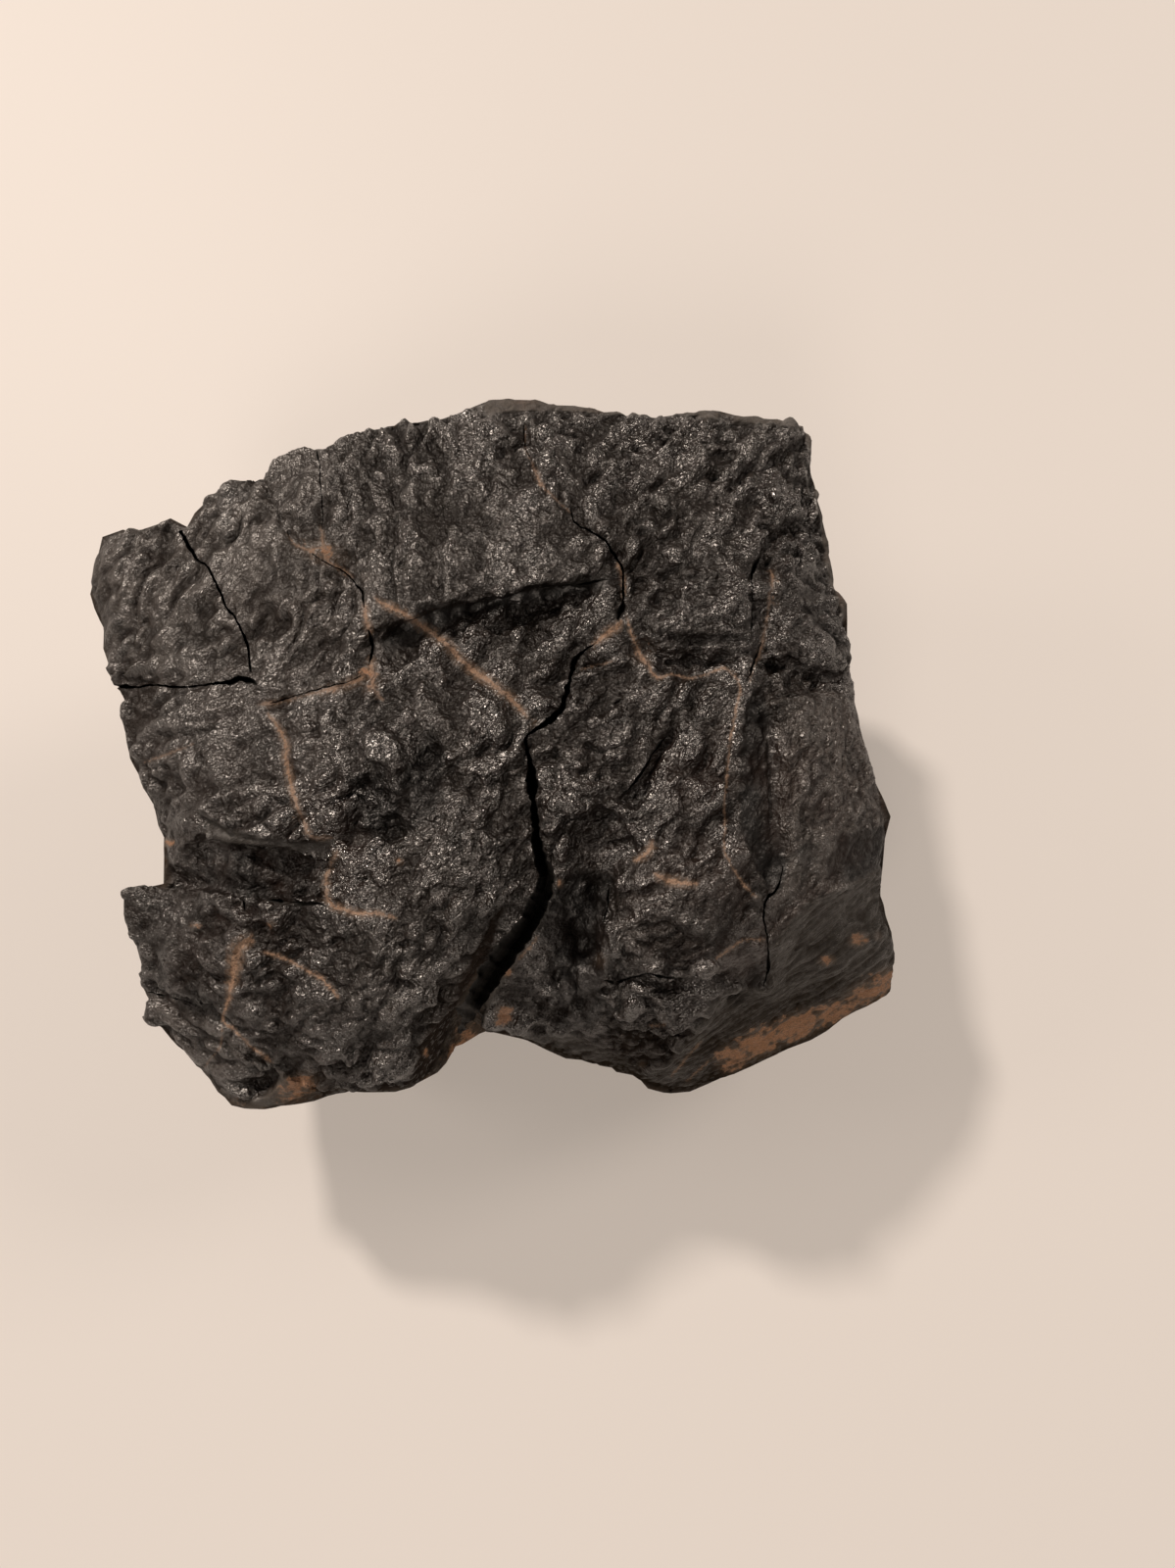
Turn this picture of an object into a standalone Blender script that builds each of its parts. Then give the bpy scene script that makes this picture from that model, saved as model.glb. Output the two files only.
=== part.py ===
"""Chondrite meteorite: one heavy, cracked stone that lies on its flattest side.

The stone is a loft. Its waist is the widest line round it, seen from above, and stands
at the rim of the upper face. Below the waist the broken walls run in over a belly and a
heel to a small flat foot, on which it rests. Above it the upper face is a surface through
spot heights, as on a survey map, with a few ledges where crust has flaked off. Wedges
then cut the open cracks into it.
"""

import math

import bmesh
import bpy
import numpy as np
from mathutils import Vector, noise
from mathutils.geometry import delaunay_2d_cdt

MM = 0.001  # lengths below are in millimetres, the mesh is in metres

LENGTH = 152.0  # along X
WIDTH = 126.0  # along Y
HEIGHT = 76.0  # along Z

STEP_ROUND = 3.4  # spacing of the mesh points round the waist
STEP_ACROSS = 3.6  # and over the upper face
STEP_LEDGE = 2.6  # and along a ledge

ROUGHNESS = 1.3  # how far the broken walls stand off their facets
ROUGH_SIZE = 13.0  # size of those lumps

# The waist: x, y and the height of the stone's rim there. It runs clockwise, seen from
# above, from the corner block at the back left.
BACK_EDGE = [
    (-76.0, 36.5, 54.5), (-73.0, 41.5, 55.5), (-67.0, 42.0, 57.0), (-60.5, 43.5, 58.0),
    (-58.5, 41.5, 57.0), (-54.5, 43.0, 59.0), (-54.5, 46.5, 60.0), (-48.0, 49.5, 61.5),
    (-44.0, 50.5, 61.5), (-42.5, 48.5, 60.5), (-41.0, 52.5, 62.5), (-37.0, 55.5, 63.0),
    (-33.5, 55.5, 64.0), (-32.0, 53.5, 64.0), (-28.5, 56.5, 65.0), (-18.5, 58.5, 66.0),
    (-7.5, 59.5, 67.0), (-0.5, 63.0, 66.5), (10.5, 62.5, 66.5), (25.0, 61.0, 66.5),
    (38.5, 62.0, 65.0), (42.5, 60.5, 65.0), (54.5, 61.0, 63.0),
]
RIGHT_EDGE = [
    (60.0, 59.5, 61.5), (60.5, 48.5, 59.5), (62.0, 36.0, 57.5), (64.0, 27.0, 57.5),
    (65.5, 18.5, 56.5), (65.0, 12.0, 58.0), (66.5, 3.0, 56.5), (69.0, -5.5, 55.0),
    (71.0, -15.5, 52.5), (70.0, -21.5, 50.5), (72.0, -29.5, 45.0), (75.0, -35.0, 38.0),
]
FRONT_EDGE = [
    (76.0, -42.0, 29.5), (68.5, -45.5, 28.5), (57.0, -51.5, 28.5), (44.5, -57.0, 29.5),
    (36.0, -60.5, 30.5), (33.0, -61.0, 31.0), (25.0, -56.5, 35.5), (18.0, -55.0, 39.0),
    (9.0, -52.0, 42.5), (2.5, -49.5, 45.0), (-3.5, -52.0, 47.5), (-9.0, -61.0, 50.0),
    (-13.5, -59.5, 49.5), (-18.0, -59.0, 49.5), (-19.5, -60.5, 47.5), (-26.0, -59.0, 47.0),
    (-31.5, -59.5, 45.0), (-36.0, -62.0, 41.5), (-41.0, -63.0, 40.0), (-45.5, -61.5, 40.5),
]
LEFT_EDGE = [
    (-51.5, -55.5, 42.5), (-60.0, -47.5, 45.0), (-59.0, -44.5, 46.0), (-61.0, -41.5, 47.0),
    (-61.5, -36.5, 47.5), (-64.0, -32.0, 49.5), (-65.0, -25.5, 50.5), (-60.5, -25.0, 51.0),
    (-56.0, -25.0, 50.5), (-57.0, -18.5, 52.0), (-59.5, -11.5, 53.0), (-65.0, -2.0, 53.5),
    (-66.5, 5.0, 54.5), (-67.0, 10.0, 54.5), (-69.5, 11.5, 54.5), (-72.0, 23.0, 54.5),
    (-75.5, 31.0, 54.5),
]
WAIST = BACK_EDGE + RIGHT_EDGE + FRONT_EDGE + LEFT_EDGE

# The walls below the waist: corners of three sections, x, y, z. The straight runs between
# corners are the facets along which the stone broke. The foot is flat, and it rests on that.
BELLY = [
    (-71, 33, 38), (-45, 46, 42), (-12, 58, 36), (31, 61, 44), (57, 56, 38), (62, 19, 33),
    (68, -12, 36), (72, -40, 22), (37, -58, 22), (11, -50, 27), (-3, -46, 28),
    (-12, -58, 30),
    (-43, -60, 26), (-59, -41, 33), (-58, -14, 38), (-67, 9, 34),
]
HEEL = [
    (-60, 27, 15), (-37, 39, 9), (3, 50, 14), (42, 52, 9), (54, 16, 13), (59, -15, 8),
    (61, -36, 7), (31, -49, 9), (-6, -44, 7), (-37, -51, 10), (-51, -28, 8), (-58, 1, 14),
]
FOOT = [
    (-40, 18, 0), (-18, 33, 0), (20, 39, 0), (39, 29, 0), (45, -6, 0), (40, -29, 0),
    (-2, -38, 0), (-31, -35, 0), (-43, -9, 0),
]
WALL_ROWS = (3, 3, 2)  # rows of mesh from the waist to the belly, the heel and the foot

# Spot heights of the upper face: x, y, z.
SPOTS = {
    "corner block": [(-58.5, 24.5, 60.0), (-70.0, 26.0, 57.5), (-47.0, 19.5, 63.5),
                     (-70.0, 37.0, 58.0)],
    "second block": [(-36.0, 25.5, 66.0), (-45.0, 39.0, 63.5), (-26.5, 17.5, 67.5)],
    "back strip": [(-36.0, 46.5, 65.0), (-26.0, 40.5, 67.5)],
    "back face": [(-1.0, 38.0, 72.5), (-7.0, 22.0, 75.0), (18.0, 29.0, 74.5),
                  (11.0, 46.0, 72.0), (-13.5, 46.5, 70.5), (0.0, 55.5, 69.5),
                  (12.0, 59.0, 67.5), (26.0, 57.0, 67.5)],
    "back right": [(31.5, 42.0, 71.5), (46.0, 40.0, 69.0), (55.0, 34.0, 65.5),
                   (34.5, 22.0, 72.5), (44.5, 18.5, 71.0), (58.5, 17.5, 64.0),
                   (54.0, 54.0, 66.0)],
    "middle": [(1.0, 10.0, 72.0), (-10.5, 7.0, 72.5), (11.0, 7.5, 72.5), (-14.5, -5.5, 73.0),
               (-3.0, -12.0, 72.5), (-10.5, -28.0, 70.0), (-1.5, -32.0, 70.0)],
    "left slope": [(-42.5, -3.0, 64.0), (-56.0, -5.0, 59.5), (-31.5, -14.0, 66.5),
                   (-36.5, -25.5, 64.5), (-52.0, -18.0, 59.5)],
    "front left": [(-48.5, -32.5, 58.0), (-33.5, -36.5, 63.0), (-23.5, -43.0, 64.0),
                   (-14.0, -50.5, 60.0), (-40.0, -51.5, 54.0), (-54.0, -41.5, 54.0),
                   (-9.0, -43.0, 65.0), (-26.0, -55.0, 55.0)],
    "right of crack": [(18.0, 5.5, 72.0), (18.0, -8.5, 71.5), (16.0, -23.0, 69.0)],
    "right middle": [(34.5, 8.0, 71.0), (34.0, -4.5, 70.0), (32.5, -16.0, 69.5),
                     (39.0, -11.0, 69.5), (46.5, -10.5, 67.5)],
    "right edge": [(58.5, -2.5, 63.5), (62.0, -13.5, 60.0), (55.0, 7.0, 66.5),
                   (60.0, -25.0, 56.5)],
    "front groove": [(14.5, -34.5, 63.0), (17.5, -42.0, 56.5), (13.0, -47.0, 51.5)],
    "front patch": [(30.5, -33.5, 66.5), (38.5, -33.5, 65.5), (27.5, -44.0, 60.0),
                    (34.5, -51.5, 47.5), (25.0, -50.5, 49.5)],
    "front facet": [(61.0, -34.5, 50.0), (67.5, -39.5, 40.5), (53.5, -45.5, 42.5),
                    (44.5, -51.5, 40.0), (48.0, -40.0, 54.5)],
}

# Ledges, where crust has flaked off: on the right of the route, looking along it, the face
# drops by `drop` over `run`, and it is level with its surroundings again `reach` further on.
LEDGES = {
    "shelf": dict(route=[(-22.0, 13.0), (-7.0, 17.0), (3.5, 21.0), (19.0, 23.0)],
                  drop=3.4, run=2.0, reach=20.0),
    "flake scar": dict(route=[(50.0, -27.0), (48.0, -8.0), (45.5, 12.0), (44.0, 26.0)],
                       drop=1.6, run=1.8, reach=9.0),
    "hollow": dict(route=[(-51.0, -17.5), (-42.0, -21.5), (-33.0, -21.0), (-25.0, -18.5)],
                   drop=2.8, run=2.0, reach=9.0),
}

# Open cracks: x, y, the gap at the surface and the depth below it.
CRACKS = {
    "main_crack": [
        (18.5, 12.0, 0.9, 8), (15.0, 6.5, 1.2, 9), (13.0, 2.0, 1.5, 10), (9.5, -1.5, 1.7, 11),
        (7.0, -3.5, 1.4, 12), (7.5, -11.0, 1.6, 14), (8.0, -18.0, 1.8, 18),
        (9.0, -24.0, 2.3, 23), (6.5, -30.5, 2.8, 30), (3.5, -36.0, 3.2, 36),
        (0.5, -41.0, 3.8, 43), (-2.5, -46.5, 5.0, 50), (-5.0, -54.0, 9.0, 56),
        (-7.0, -70.0, 18.0, 60),
    ],
    "corner_crack": [
        (-60.0, 47.0, 2.0, 15), (-58.0, 40.5, 1.3, 13), (-54.0, 35.5, 1.2, 12),
        (-50.5, 28.5, 1.2, 10), (-47.5, 20.0, 1.2, 8), (-46.5, 12.5, 1.0, 6),
    ],
    "corner_base_crack": [
        (-75.0, 10.8, 1.8, 15), (-69.0, 11.0, 1.2, 13), (-60.0, 11.4, 1.2, 10),
        (-47.5, 12.6, 1.6, 7),
    ],
}
LEDGE_ENDS = 0.18  # share of its length in which a ledge dies out at each end
CRACK_RISE = 12.0  # the wedge that cuts a crack stands this far above the surface
CRACK_SHARP = 0.15  # its width at the bottom, as a share of the gap

STONE_BLACK = (0.022, 0.019, 0.017, 1.0)


def clear_scene():
    for old in list(bpy.data.objects):
        bpy.data.objects.remove(old, do_unlink=True)


def new_collection(name):
    made = bpy.data.collections.new(name)
    bpy.context.scene.collection.children.link(made)
    return made


def crust_material():
    made = bpy.data.materials.new("fusion_crust")
    made.use_nodes = True
    shader = made.node_tree.nodes["Principled BSDF"]
    shader.inputs["Base Color"].default_value = STONE_BLACK
    shader.inputs["Roughness"].default_value = 0.5
    shader.inputs["Metallic"].default_value = 0.0
    return made


def spaced(points, spacing):
    """The closed outline again, with a point about every `spacing` and at each corner."""
    made = []
    for start, end in zip(points, points[1:] + points[:1]):
        start, end = np.array(start), np.array(end)
        count = max(1, round(np.linalg.norm(end[:2] - start[:2]) / spacing))
        made += [start + (end - start) * i / count for i in range(count)]
    return np.array(made)


def smoothed(values, rounds):
    """A closed row of values, each moved towards its neighbours' mean, `rounds` times."""
    for _ in range(rounds):
        values = (np.roll(values, 1, axis=0) + 2 * values + np.roll(values, -1, axis=0)) / 4
    return values


def section_at(corners, directions):
    """Where rays from the middle, one for each direction, meet the section's sides."""
    corners = np.array(corners, float)
    found = np.zeros((len(directions), 3))
    reach = np.zeros(len(directions))
    for a, b in zip(corners, np.roll(corners, -1, axis=0)):
        side = b - a
        across = directions[:, 0] * side[1] - directions[:, 1] * side[0]
        across = np.where(np.abs(across) < 1e-9, 1e-9, across)
        along = (a[0] * side[1] - a[1] * side[0]) / across
        share = (a[0] * directions[:, 1] - a[1] * directions[:, 0]) / across
        hit = (along > reach) & (share >= 0) & (share <= 1)
        reach = np.where(hit, along, reach)
        found[hit] = (a + side * share[:, None])[hit]
    return found


def surface_through(spots):
    """A thin plate bent through the spot heights: a function of rows of x and y."""
    plan, heights = spots[:, :2], spots[:, 2]

    def bend(a, b):
        apart = np.linalg.norm(a[:, None, :] - b[None, :, :], axis=2)
        return apart**2 * np.log(apart + 1e-9)

    count = len(plan)
    flat = np.hstack([np.ones((count, 1)), plan])
    system = np.zeros((count + 3, count + 3))
    system[:count, :count] = bend(plan, plan) + 2.0 * np.eye(count)
    system[:count, count:] = flat
    system[count:, :count] = flat.T
    weights = np.linalg.solve(system, np.concatenate([heights, np.zeros(3)]))

    def height(at):
        return (bend(at, plan) @ weights[:count]
                + np.hstack([np.ones((len(at), 1)), at]) @ weights[count:])

    return height


def eased(value):
    value = np.clip(value, 0.0, 1.0)
    return value * value * (3 - 2 * value)


def beside(at, route):
    """Distance of each point to the right of the route, and how far along it, 0 to 1."""
    lengths = np.linalg.norm(np.diff(route, axis=0), axis=1)
    starts = np.concatenate([[0.0], np.cumsum(lengths)])
    near = np.full(len(at), np.inf)
    side = np.zeros(len(at))
    along = np.zeros(len(at))
    for i, (a, b) in enumerate(zip(route, route[1:])):
        way = (b - a) / lengths[i]
        share = np.clip((at - a) @ way, 0.0, lengths[i])
        off = at - a - share[:, None] * way
        apart = np.linalg.norm(off, axis=1)
        nearer = apart < near
        near = np.where(nearer, apart, near)
        turn = way[1] * off[:, 0] - way[0] * off[:, 1]
        side = np.where(nearer, np.sign(turn) * apart, side)
        along = np.where(nearer, (starts[i] + share) / starts[-1], along)
    return side, along


def ledge_drop(at, ledge):
    side, along = beside(at, np.array(ledge["route"]))
    ends = eased(along / LEDGE_ENDS) * eased((1 - along) / LEDGE_ENDS)
    fallen = eased(side / ledge["run"])
    back = 1 - eased((side - ledge["run"]) / ledge["reach"])
    return ledge["drop"] * fallen * back * ends


def ledge_lines(ledge):
    """The brink of a ledge and the line at its bottom, as rows of points."""
    route = np.array(ledge["route"])
    line = [route[0]]
    for a, b in zip(route, route[1:]):
        count = max(1, round(np.linalg.norm(b - a) / STEP_LEDGE))
        line += [a + (b - a) * (i + 1) / count for i in range(count)]
    line = np.array(line)
    ways = np.gradient(line, axis=0)
    ways /= np.linalg.norm(ways, axis=1)[:, None]
    to_right = np.column_stack([ways[:, 1], -ways[:, 0]])
    return [line, line + to_right * ledge["run"]]


def face_height():
    """The upper face as a function of rows of x and y."""
    rim = np.array(WAIST, float)
    spots = np.array([s for group in SPOTS.values() for s in group], float)
    plate = surface_through(np.vstack([rim, spots]))

    def height(at):
        return plate(at) - sum(ledge_drop(at, ledge) for ledge in LEDGES.values())

    return height


def inside(point, outline):
    x, y = point
    crossings = 0
    for (ax, ay), (bx, by) in zip(outline, np.roll(outline, -1, axis=0)):
        if (ay > y) != (by > y) and x < ax + (y - ay) * (bx - ax) / (by - ay):
            crossings += 1
    return crossings % 2 == 1


def grid_inside(outline, fixed):
    """Points in rows over the upper face, each clear of its outline and the fixed points."""
    lowest, highest = outline.min(axis=0), outline.max(axis=0)
    taken = np.vstack([outline, fixed])
    row_height = STEP_ACROSS * math.sqrt(3) / 2
    found = []
    for row in range(int((highest[1] - lowest[1]) / row_height) + 1):
        y = lowest[1] + row * row_height
        x = lowest[0] + (row % 2) * STEP_ACROSS / 2
        while x < highest[0]:
            clear = np.min(np.linalg.norm(taken - (x, y), axis=1))
            if clear > 0.6 * STEP_ACROSS and inside((x, y), outline):
                found.append((x, y))
            x += STEP_ACROSS
    return np.array(found)


def lumps(points, amount):
    """The points moved by smooth noise, sideways and a little up and down."""
    moved = points.copy()
    for i, point in enumerate(points):
        push = noise.noise_vector(Vector(point) / ROUGH_SIZE)
        push += 0.4 * noise.noise_vector(Vector(point) / (0.4 * ROUGH_SIZE))
        moved[i] += amount * np.array((push.x, push.y, 0.5 * push.z))
    return moved


def directions_round(plan):
    """One direction from the middle for each point of the outline, always turning on."""
    angles = np.unwrap(np.arctan2(plan[:, 1], plan[:, 0]))
    turns = np.diff(np.append(angles, angles[0] - 2 * math.pi))
    turns = smoothed(np.minimum(turns, -0.3 * 2 * math.pi / len(plan)), 8)
    turns *= -2 * math.pi / turns.sum()
    angles = angles[0] + np.cumsum(turns) - turns
    return np.column_stack([np.cos(angles), np.sin(angles)])


def wall_rings(waist):
    """The rings of points below the waist, from the top down to the flat foot."""
    directions = directions_round(waist[:, :2])
    upper = waist
    rings = []
    for corners, rows in zip((BELLY, HEEL, FOOT), WALL_ROWS):
        lower = section_at(corners, directions)
        for row in range(1, rows + 1):
            ring = upper + (lower - upper) * row / rows
            if corners is BELLY:
                ring = smoothed(ring, row)
            is_foot = corners is FOOT and row == rows
            rings.append(ring if is_foot else lumps(ring, ROUGHNESS))
        upper = lower
    return rings


def stone_body(collection, material):
    """The whole stone before it cracked: a closed mesh."""
    waist = spaced(WAIST, STEP_ROUND)
    height = face_height()
    lines = [line for ledge in LEDGES.values() for line in ledge_lines(ledge)]
    fixed = np.vstack(lines)
    inner = np.vstack([fixed, grid_inside(waist[:, :2], fixed)])
    points = np.vstack([waist, np.column_stack([inner, height(inner)])])

    count = len(waist)
    creases = []
    first = count
    for line in lines:
        creases += [(first + i, first + i + 1) for i in range(len(line) - 1)]
        first += len(line)
    made = delaunay_2d_cdt([Vector(p[:2]) for p in points], creases,
                           [list(range(count))[::-1]], 1, 1e-4)
    source = [before[0] for before in made[3]]
    cap_faces = [[source[i] for i in face] for face in made[2]]

    bm = bmesh.new()
    top = [bm.verts.new(Vector(p) * MM) for p in points]
    for face in cap_faces:
        bm.faces.new([top[i] for i in face])
    above = top[:count]
    for ring in wall_rings(waist):
        below = [bm.verts.new(Vector(p) * MM) for p in ring]
        for i in range(count):
            j = (i + 1) % count
            bm.faces.new([above[j], above[i], below[i], below[j]])
        above = below
    bm.faces.new(above)
    bmesh.ops.recalc_face_normals(bm, faces=bm.faces)
    bmesh.ops.triangulate(bm, faces=[f for f in bm.faces if len(f.verts) == 4])

    mesh = bpy.data.meshes.new("meteorite")
    bm.to_mesh(mesh)
    bm.free()
    mesh.materials.append(material)
    body = bpy.data.objects.new("meteorite", mesh)
    collection.objects.link(body)
    return body


def crack_cutter(name, crack, height, collection):
    """A wedge along the crack's route, narrow at the bottom and open above the face."""
    line, gaps, depths = np.split(np.array(crack, float), (2, 3), axis=1)
    ways = np.gradient(line, axis=0)
    ways /= np.linalg.norm(ways, axis=1)[:, None]
    across = np.column_stack([-ways[:, 1], ways[:, 0]])
    levels = np.clip(height(line), 40.0, HEIGHT)[:, None]
    upper = across * gaps / 2 * (1 + CRACK_RISE / depths)
    lower = across * gaps / 2 * CRACK_SHARP

    bm = bmesh.new()
    rails = []
    for plan, level in ((line - upper, levels + CRACK_RISE), (line + upper, levels + CRACK_RISE),
                        (line + lower, levels - depths), (line - lower, levels - depths)):
        rails.append([bm.verts.new(Vector(p) * MM) for p in np.hstack([plan, level])])
    for rail, beside_it in zip(rails, rails[1:] + rails[:1]):
        for i in range(len(line) - 1):
            bm.faces.new([rail[i], beside_it[i], beside_it[i + 1], rail[i + 1]])
    bm.faces.new([rail[0] for rail in rails][::-1])
    bm.faces.new([rail[-1] for rail in rails])
    bmesh.ops.recalc_face_normals(bm, faces=bm.faces)
    bmesh.ops.triangulate(bm, faces=bm.faces)

    mesh = bpy.data.meshes.new(name)
    bm.to_mesh(mesh)
    bm.free()
    cutter = bpy.data.objects.new(name, mesh)
    cutter.hide_render = True
    cutter.display_type = "WIRE"
    collection.objects.link(cutter)
    return cutter


def cut(body, cutter):
    modifier = body.modifiers.new(cutter.name, "BOOLEAN")
    modifier.operation = "DIFFERENCE"
    modifier.solver = "EXACT"
    modifier.object = cutter


def fit_to_size(body):
    """Sets the origin at the middle of the foot's box and the box to its real size."""
    corners = np.array([v.co for v in body.data.vertices])
    low, high = corners.min(axis=0), corners.max(axis=0)
    size = np.array((LENGTH, WIDTH, HEIGHT)) * MM
    middle = np.array(((low[0] + high[0]) / 2, (low[1] + high[1]) / 2, low[2]))
    for vertex in body.data.vertices:
        vertex.co = Vector((np.array(vertex.co) - middle) * size / (high - low))


def main():
    clear_scene()
    parts = new_collection("chondrite_meteorite")
    cutters = new_collection("cutters")
    body = stone_body(parts, crust_material())
    fit_to_size(body)
    height = face_height()
    for name, crack in CRACKS.items():
        cut(body, crack_cutter(name, crack, height, cutters))


main()
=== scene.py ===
import math
import time

import bmesh
import bpy
import numpy as np
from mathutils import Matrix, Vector, noise
from mathutils.bvhtree import BVHTree
from mathutils.kdtree import KDTree


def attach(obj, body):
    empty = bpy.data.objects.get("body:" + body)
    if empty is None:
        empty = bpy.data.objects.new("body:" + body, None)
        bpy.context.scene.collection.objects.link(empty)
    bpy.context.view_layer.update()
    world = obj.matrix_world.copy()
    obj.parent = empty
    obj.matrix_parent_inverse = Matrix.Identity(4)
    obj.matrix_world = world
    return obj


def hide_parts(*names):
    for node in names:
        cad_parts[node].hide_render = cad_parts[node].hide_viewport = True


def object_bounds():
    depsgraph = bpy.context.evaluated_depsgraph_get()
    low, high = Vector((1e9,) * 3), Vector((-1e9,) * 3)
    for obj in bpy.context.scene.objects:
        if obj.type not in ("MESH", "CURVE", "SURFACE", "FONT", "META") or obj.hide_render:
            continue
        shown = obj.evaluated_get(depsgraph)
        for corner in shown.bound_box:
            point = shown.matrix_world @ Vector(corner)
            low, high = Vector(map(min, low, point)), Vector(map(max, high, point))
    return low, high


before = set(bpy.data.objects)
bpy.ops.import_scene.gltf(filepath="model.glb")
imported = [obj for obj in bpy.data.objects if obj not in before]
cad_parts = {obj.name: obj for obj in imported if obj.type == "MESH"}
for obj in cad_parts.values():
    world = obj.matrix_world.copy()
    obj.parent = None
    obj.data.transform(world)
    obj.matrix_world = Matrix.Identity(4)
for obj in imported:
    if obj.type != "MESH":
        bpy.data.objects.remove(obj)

# Points are kept in millimetres while the stone is shaped, and meshes are in metres.
# Traced lines are in pixels of the 1199 x 1600 view that the camera below gives.

started = time.time()
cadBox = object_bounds()
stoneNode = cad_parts["meteorite"]
mm = 0.001
noise.seed_set(5)  # for the small bends of lines, which are then the same on every run


def say(stage):
    print(f"{stage}: {time.time() - started:.0f} s")


# The camera, which also carries traced lines onto the stone.

eye = dict(
    place=(17.7, -62.8, 248.8),
    lean=16.0,  # degrees from straight down
    focal=1155.0,  # in pixels
    middle=(599.5, 800.0),
    longSide=1600.0,
    sensor=36.0,
)
pixelSize = 0.19  # mm on the stone's face
leanAngle = math.radians(eye["lean"])
viewWay = np.array((0.0, math.sin(leanAngle), -math.cos(leanAngle)))
viewUp = np.array((0.0, math.cos(leanAngle), math.sin(leanAngle)))
eyePlace = np.array(eye["place"])


def reachAlong(vectors, way):
    # How far each vector goes that way. Summed by hand, as this comes out the same each run.
    return sum(column * share for column, share in zip(vectors.T, way))


def pixelsOf(points):
    away = points - eyePlace
    depth = reachAlong(away, viewWay)
    across = eye["middle"][0] + eye["focal"] * away[:, 0] / depth
    down = eye["middle"][1] - eye["focal"] * reachAlong(away, viewUp) / depth
    return np.column_stack((across, down))


def rayThrough(pixel):
    way = viewWay.copy()
    way[0] += (pixel[0] - eye["middle"][0]) / eye["focal"]
    way = way + viewUp * (eye["middle"][1] - pixel[1]) / eye["focal"]
    return way / np.linalg.norm(way)


def makeCamera():
    data = bpy.data.cameras.new("viewCamera")
    data.sensor_width = eye["sensor"]
    data.lens = eye["sensor"] * eye["focal"] / eye["longSide"]
    data.clip_start = 0.01
    data.clip_end = 10.0
    camera = bpy.data.objects.new("viewCamera", data)
    camera.location = Vector(eyePlace) * mm
    camera.rotation_euler = (leanAngle, 0.0, 0.0)
    bpy.context.scene.collection.objects.link(camera)
    bpy.context.scene.camera = camera


# Mesh helpers.

def pointsOf(mesh):
    found = np.empty(len(mesh.vertices) * 3, np.float32)
    mesh.vertices.foreach_get("co", found)
    return found.reshape(-1, 3).astype(float) / mm


def setPoints(mesh, points):
    mesh.vertices.foreach_set("co", (points * mm).astype(np.float32).ravel())
    mesh.update()


def normalsOf(mesh):
    found = np.empty(len(mesh.vertices) * 3, np.float32)
    mesh.vertex_normals.foreach_get("vector", found)
    return found.reshape(-1, 3).astype(float)


def shaped(mesh, name, *modifiers):
    # The mesh with these modifiers applied, as a new mesh.
    holder = bpy.data.objects.new(name, mesh)
    bpy.context.scene.collection.objects.link(holder)
    for kind, settings in modifiers:
        modifier = holder.modifiers.new(kind.lower(), kind)
        for key, value in settings.items():
            setattr(modifier, key, value)
    seen = holder.evaluated_get(bpy.context.evaluated_depsgraph_get())
    made = bpy.data.meshes.new_from_object(seen)
    bpy.data.objects.remove(holder)
    return made


def eased(value):
    value = np.clip(value, 0.0, 1.0)
    return value * value * (3.0 - 2.0 * value)


def turnedBy(turn, x, y):
    # The same place seen from axes turned by so many degrees.
    c, s = math.cos(math.radians(turn)), math.sin(math.radians(turn))
    return x * c + y * s, y * c - x * s


lumps = dict(seedStep=31.7, fade=0.9, finer=2.1)  # and how the finer lumps follow the coarse


def noiseAt(points, size, seed=0, octaves=1, stretch=(1.0, 1.0, 1.0), turn=0.0):
    # Smooth noise about -1 to 1, with lumps of this size in mm. stretch makes them longer
    # along an axis, after turning by so many degrees about +Z.
    turned = points.copy()
    if turn:
        turned[:, 0], turned[:, 1] = turnedBy(turn, points[:, 0], points[:, 1])
    turned = turned / (size * np.array(stretch)) + lumps["seedStep"] * seed
    if octaves == 1:
        return np.array([noise.noise(Vector(p)) for p in turned])
    return np.array([noise.fractal(Vector(p), lumps["fade"], lumps["finer"], octaves)
                     for p in turned])


# The plain stone: the CAD solid with its narrow cracks closed, smooth and fine.

plainStone = dict(voxel=1.1, swell=1.3, shrink=1.05, smoothing=3, smoothBy=0.5)


def makePlainStone():
    remesh = ("REMESH", dict(mode="VOXEL", voxel_size=plainStone["voxel"] * mm, adaptivity=0.0))
    mesh = shaped(stoneNode.data.copy(), "plain", remesh)
    setPoints(mesh, pointsOf(mesh) + plainStone["swell"] * normalsOf(mesh))
    mesh = shaped(mesh, "plain", remesh)
    setPoints(mesh, pointsOf(mesh) - plainStone["shrink"] * normalsOf(mesh))
    return shaped(
        mesh, "plain",
        ("SMOOTH", dict(iterations=plainStone["smoothing"], factor=plainStone["smoothBy"])),
        ("SUBSURF", dict(levels=1, render_levels=1)),
    )


# Lines traced on the stone, in pixels.

def curveThrough(stops, step=5.0):
    # A smooth line through the stops, with each stop's further values carried along.
    stops = np.array(stops, float)
    ends = np.vstack((2 * stops[0] - stops[1], stops, 2 * stops[-1] - stops[-2]))
    line = [stops[0]]
    for i in range(1, len(stops)):
        before, a, b, after = ends[i - 1], ends[i], ends[i + 1], ends[i + 2]
        count = max(1, int(round(np.linalg.norm(b[:2] - a[:2]) / step)))
        for k in range(1, count + 1):
            t = k / count
            bend = 2 * a + (b - before) * t + (2 * before - 5 * a + 4 * b - after) * t**2
            line.append((bend + (3 * a - before - 3 * b + after) * t**3) / 2)
    return np.array(line)


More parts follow.
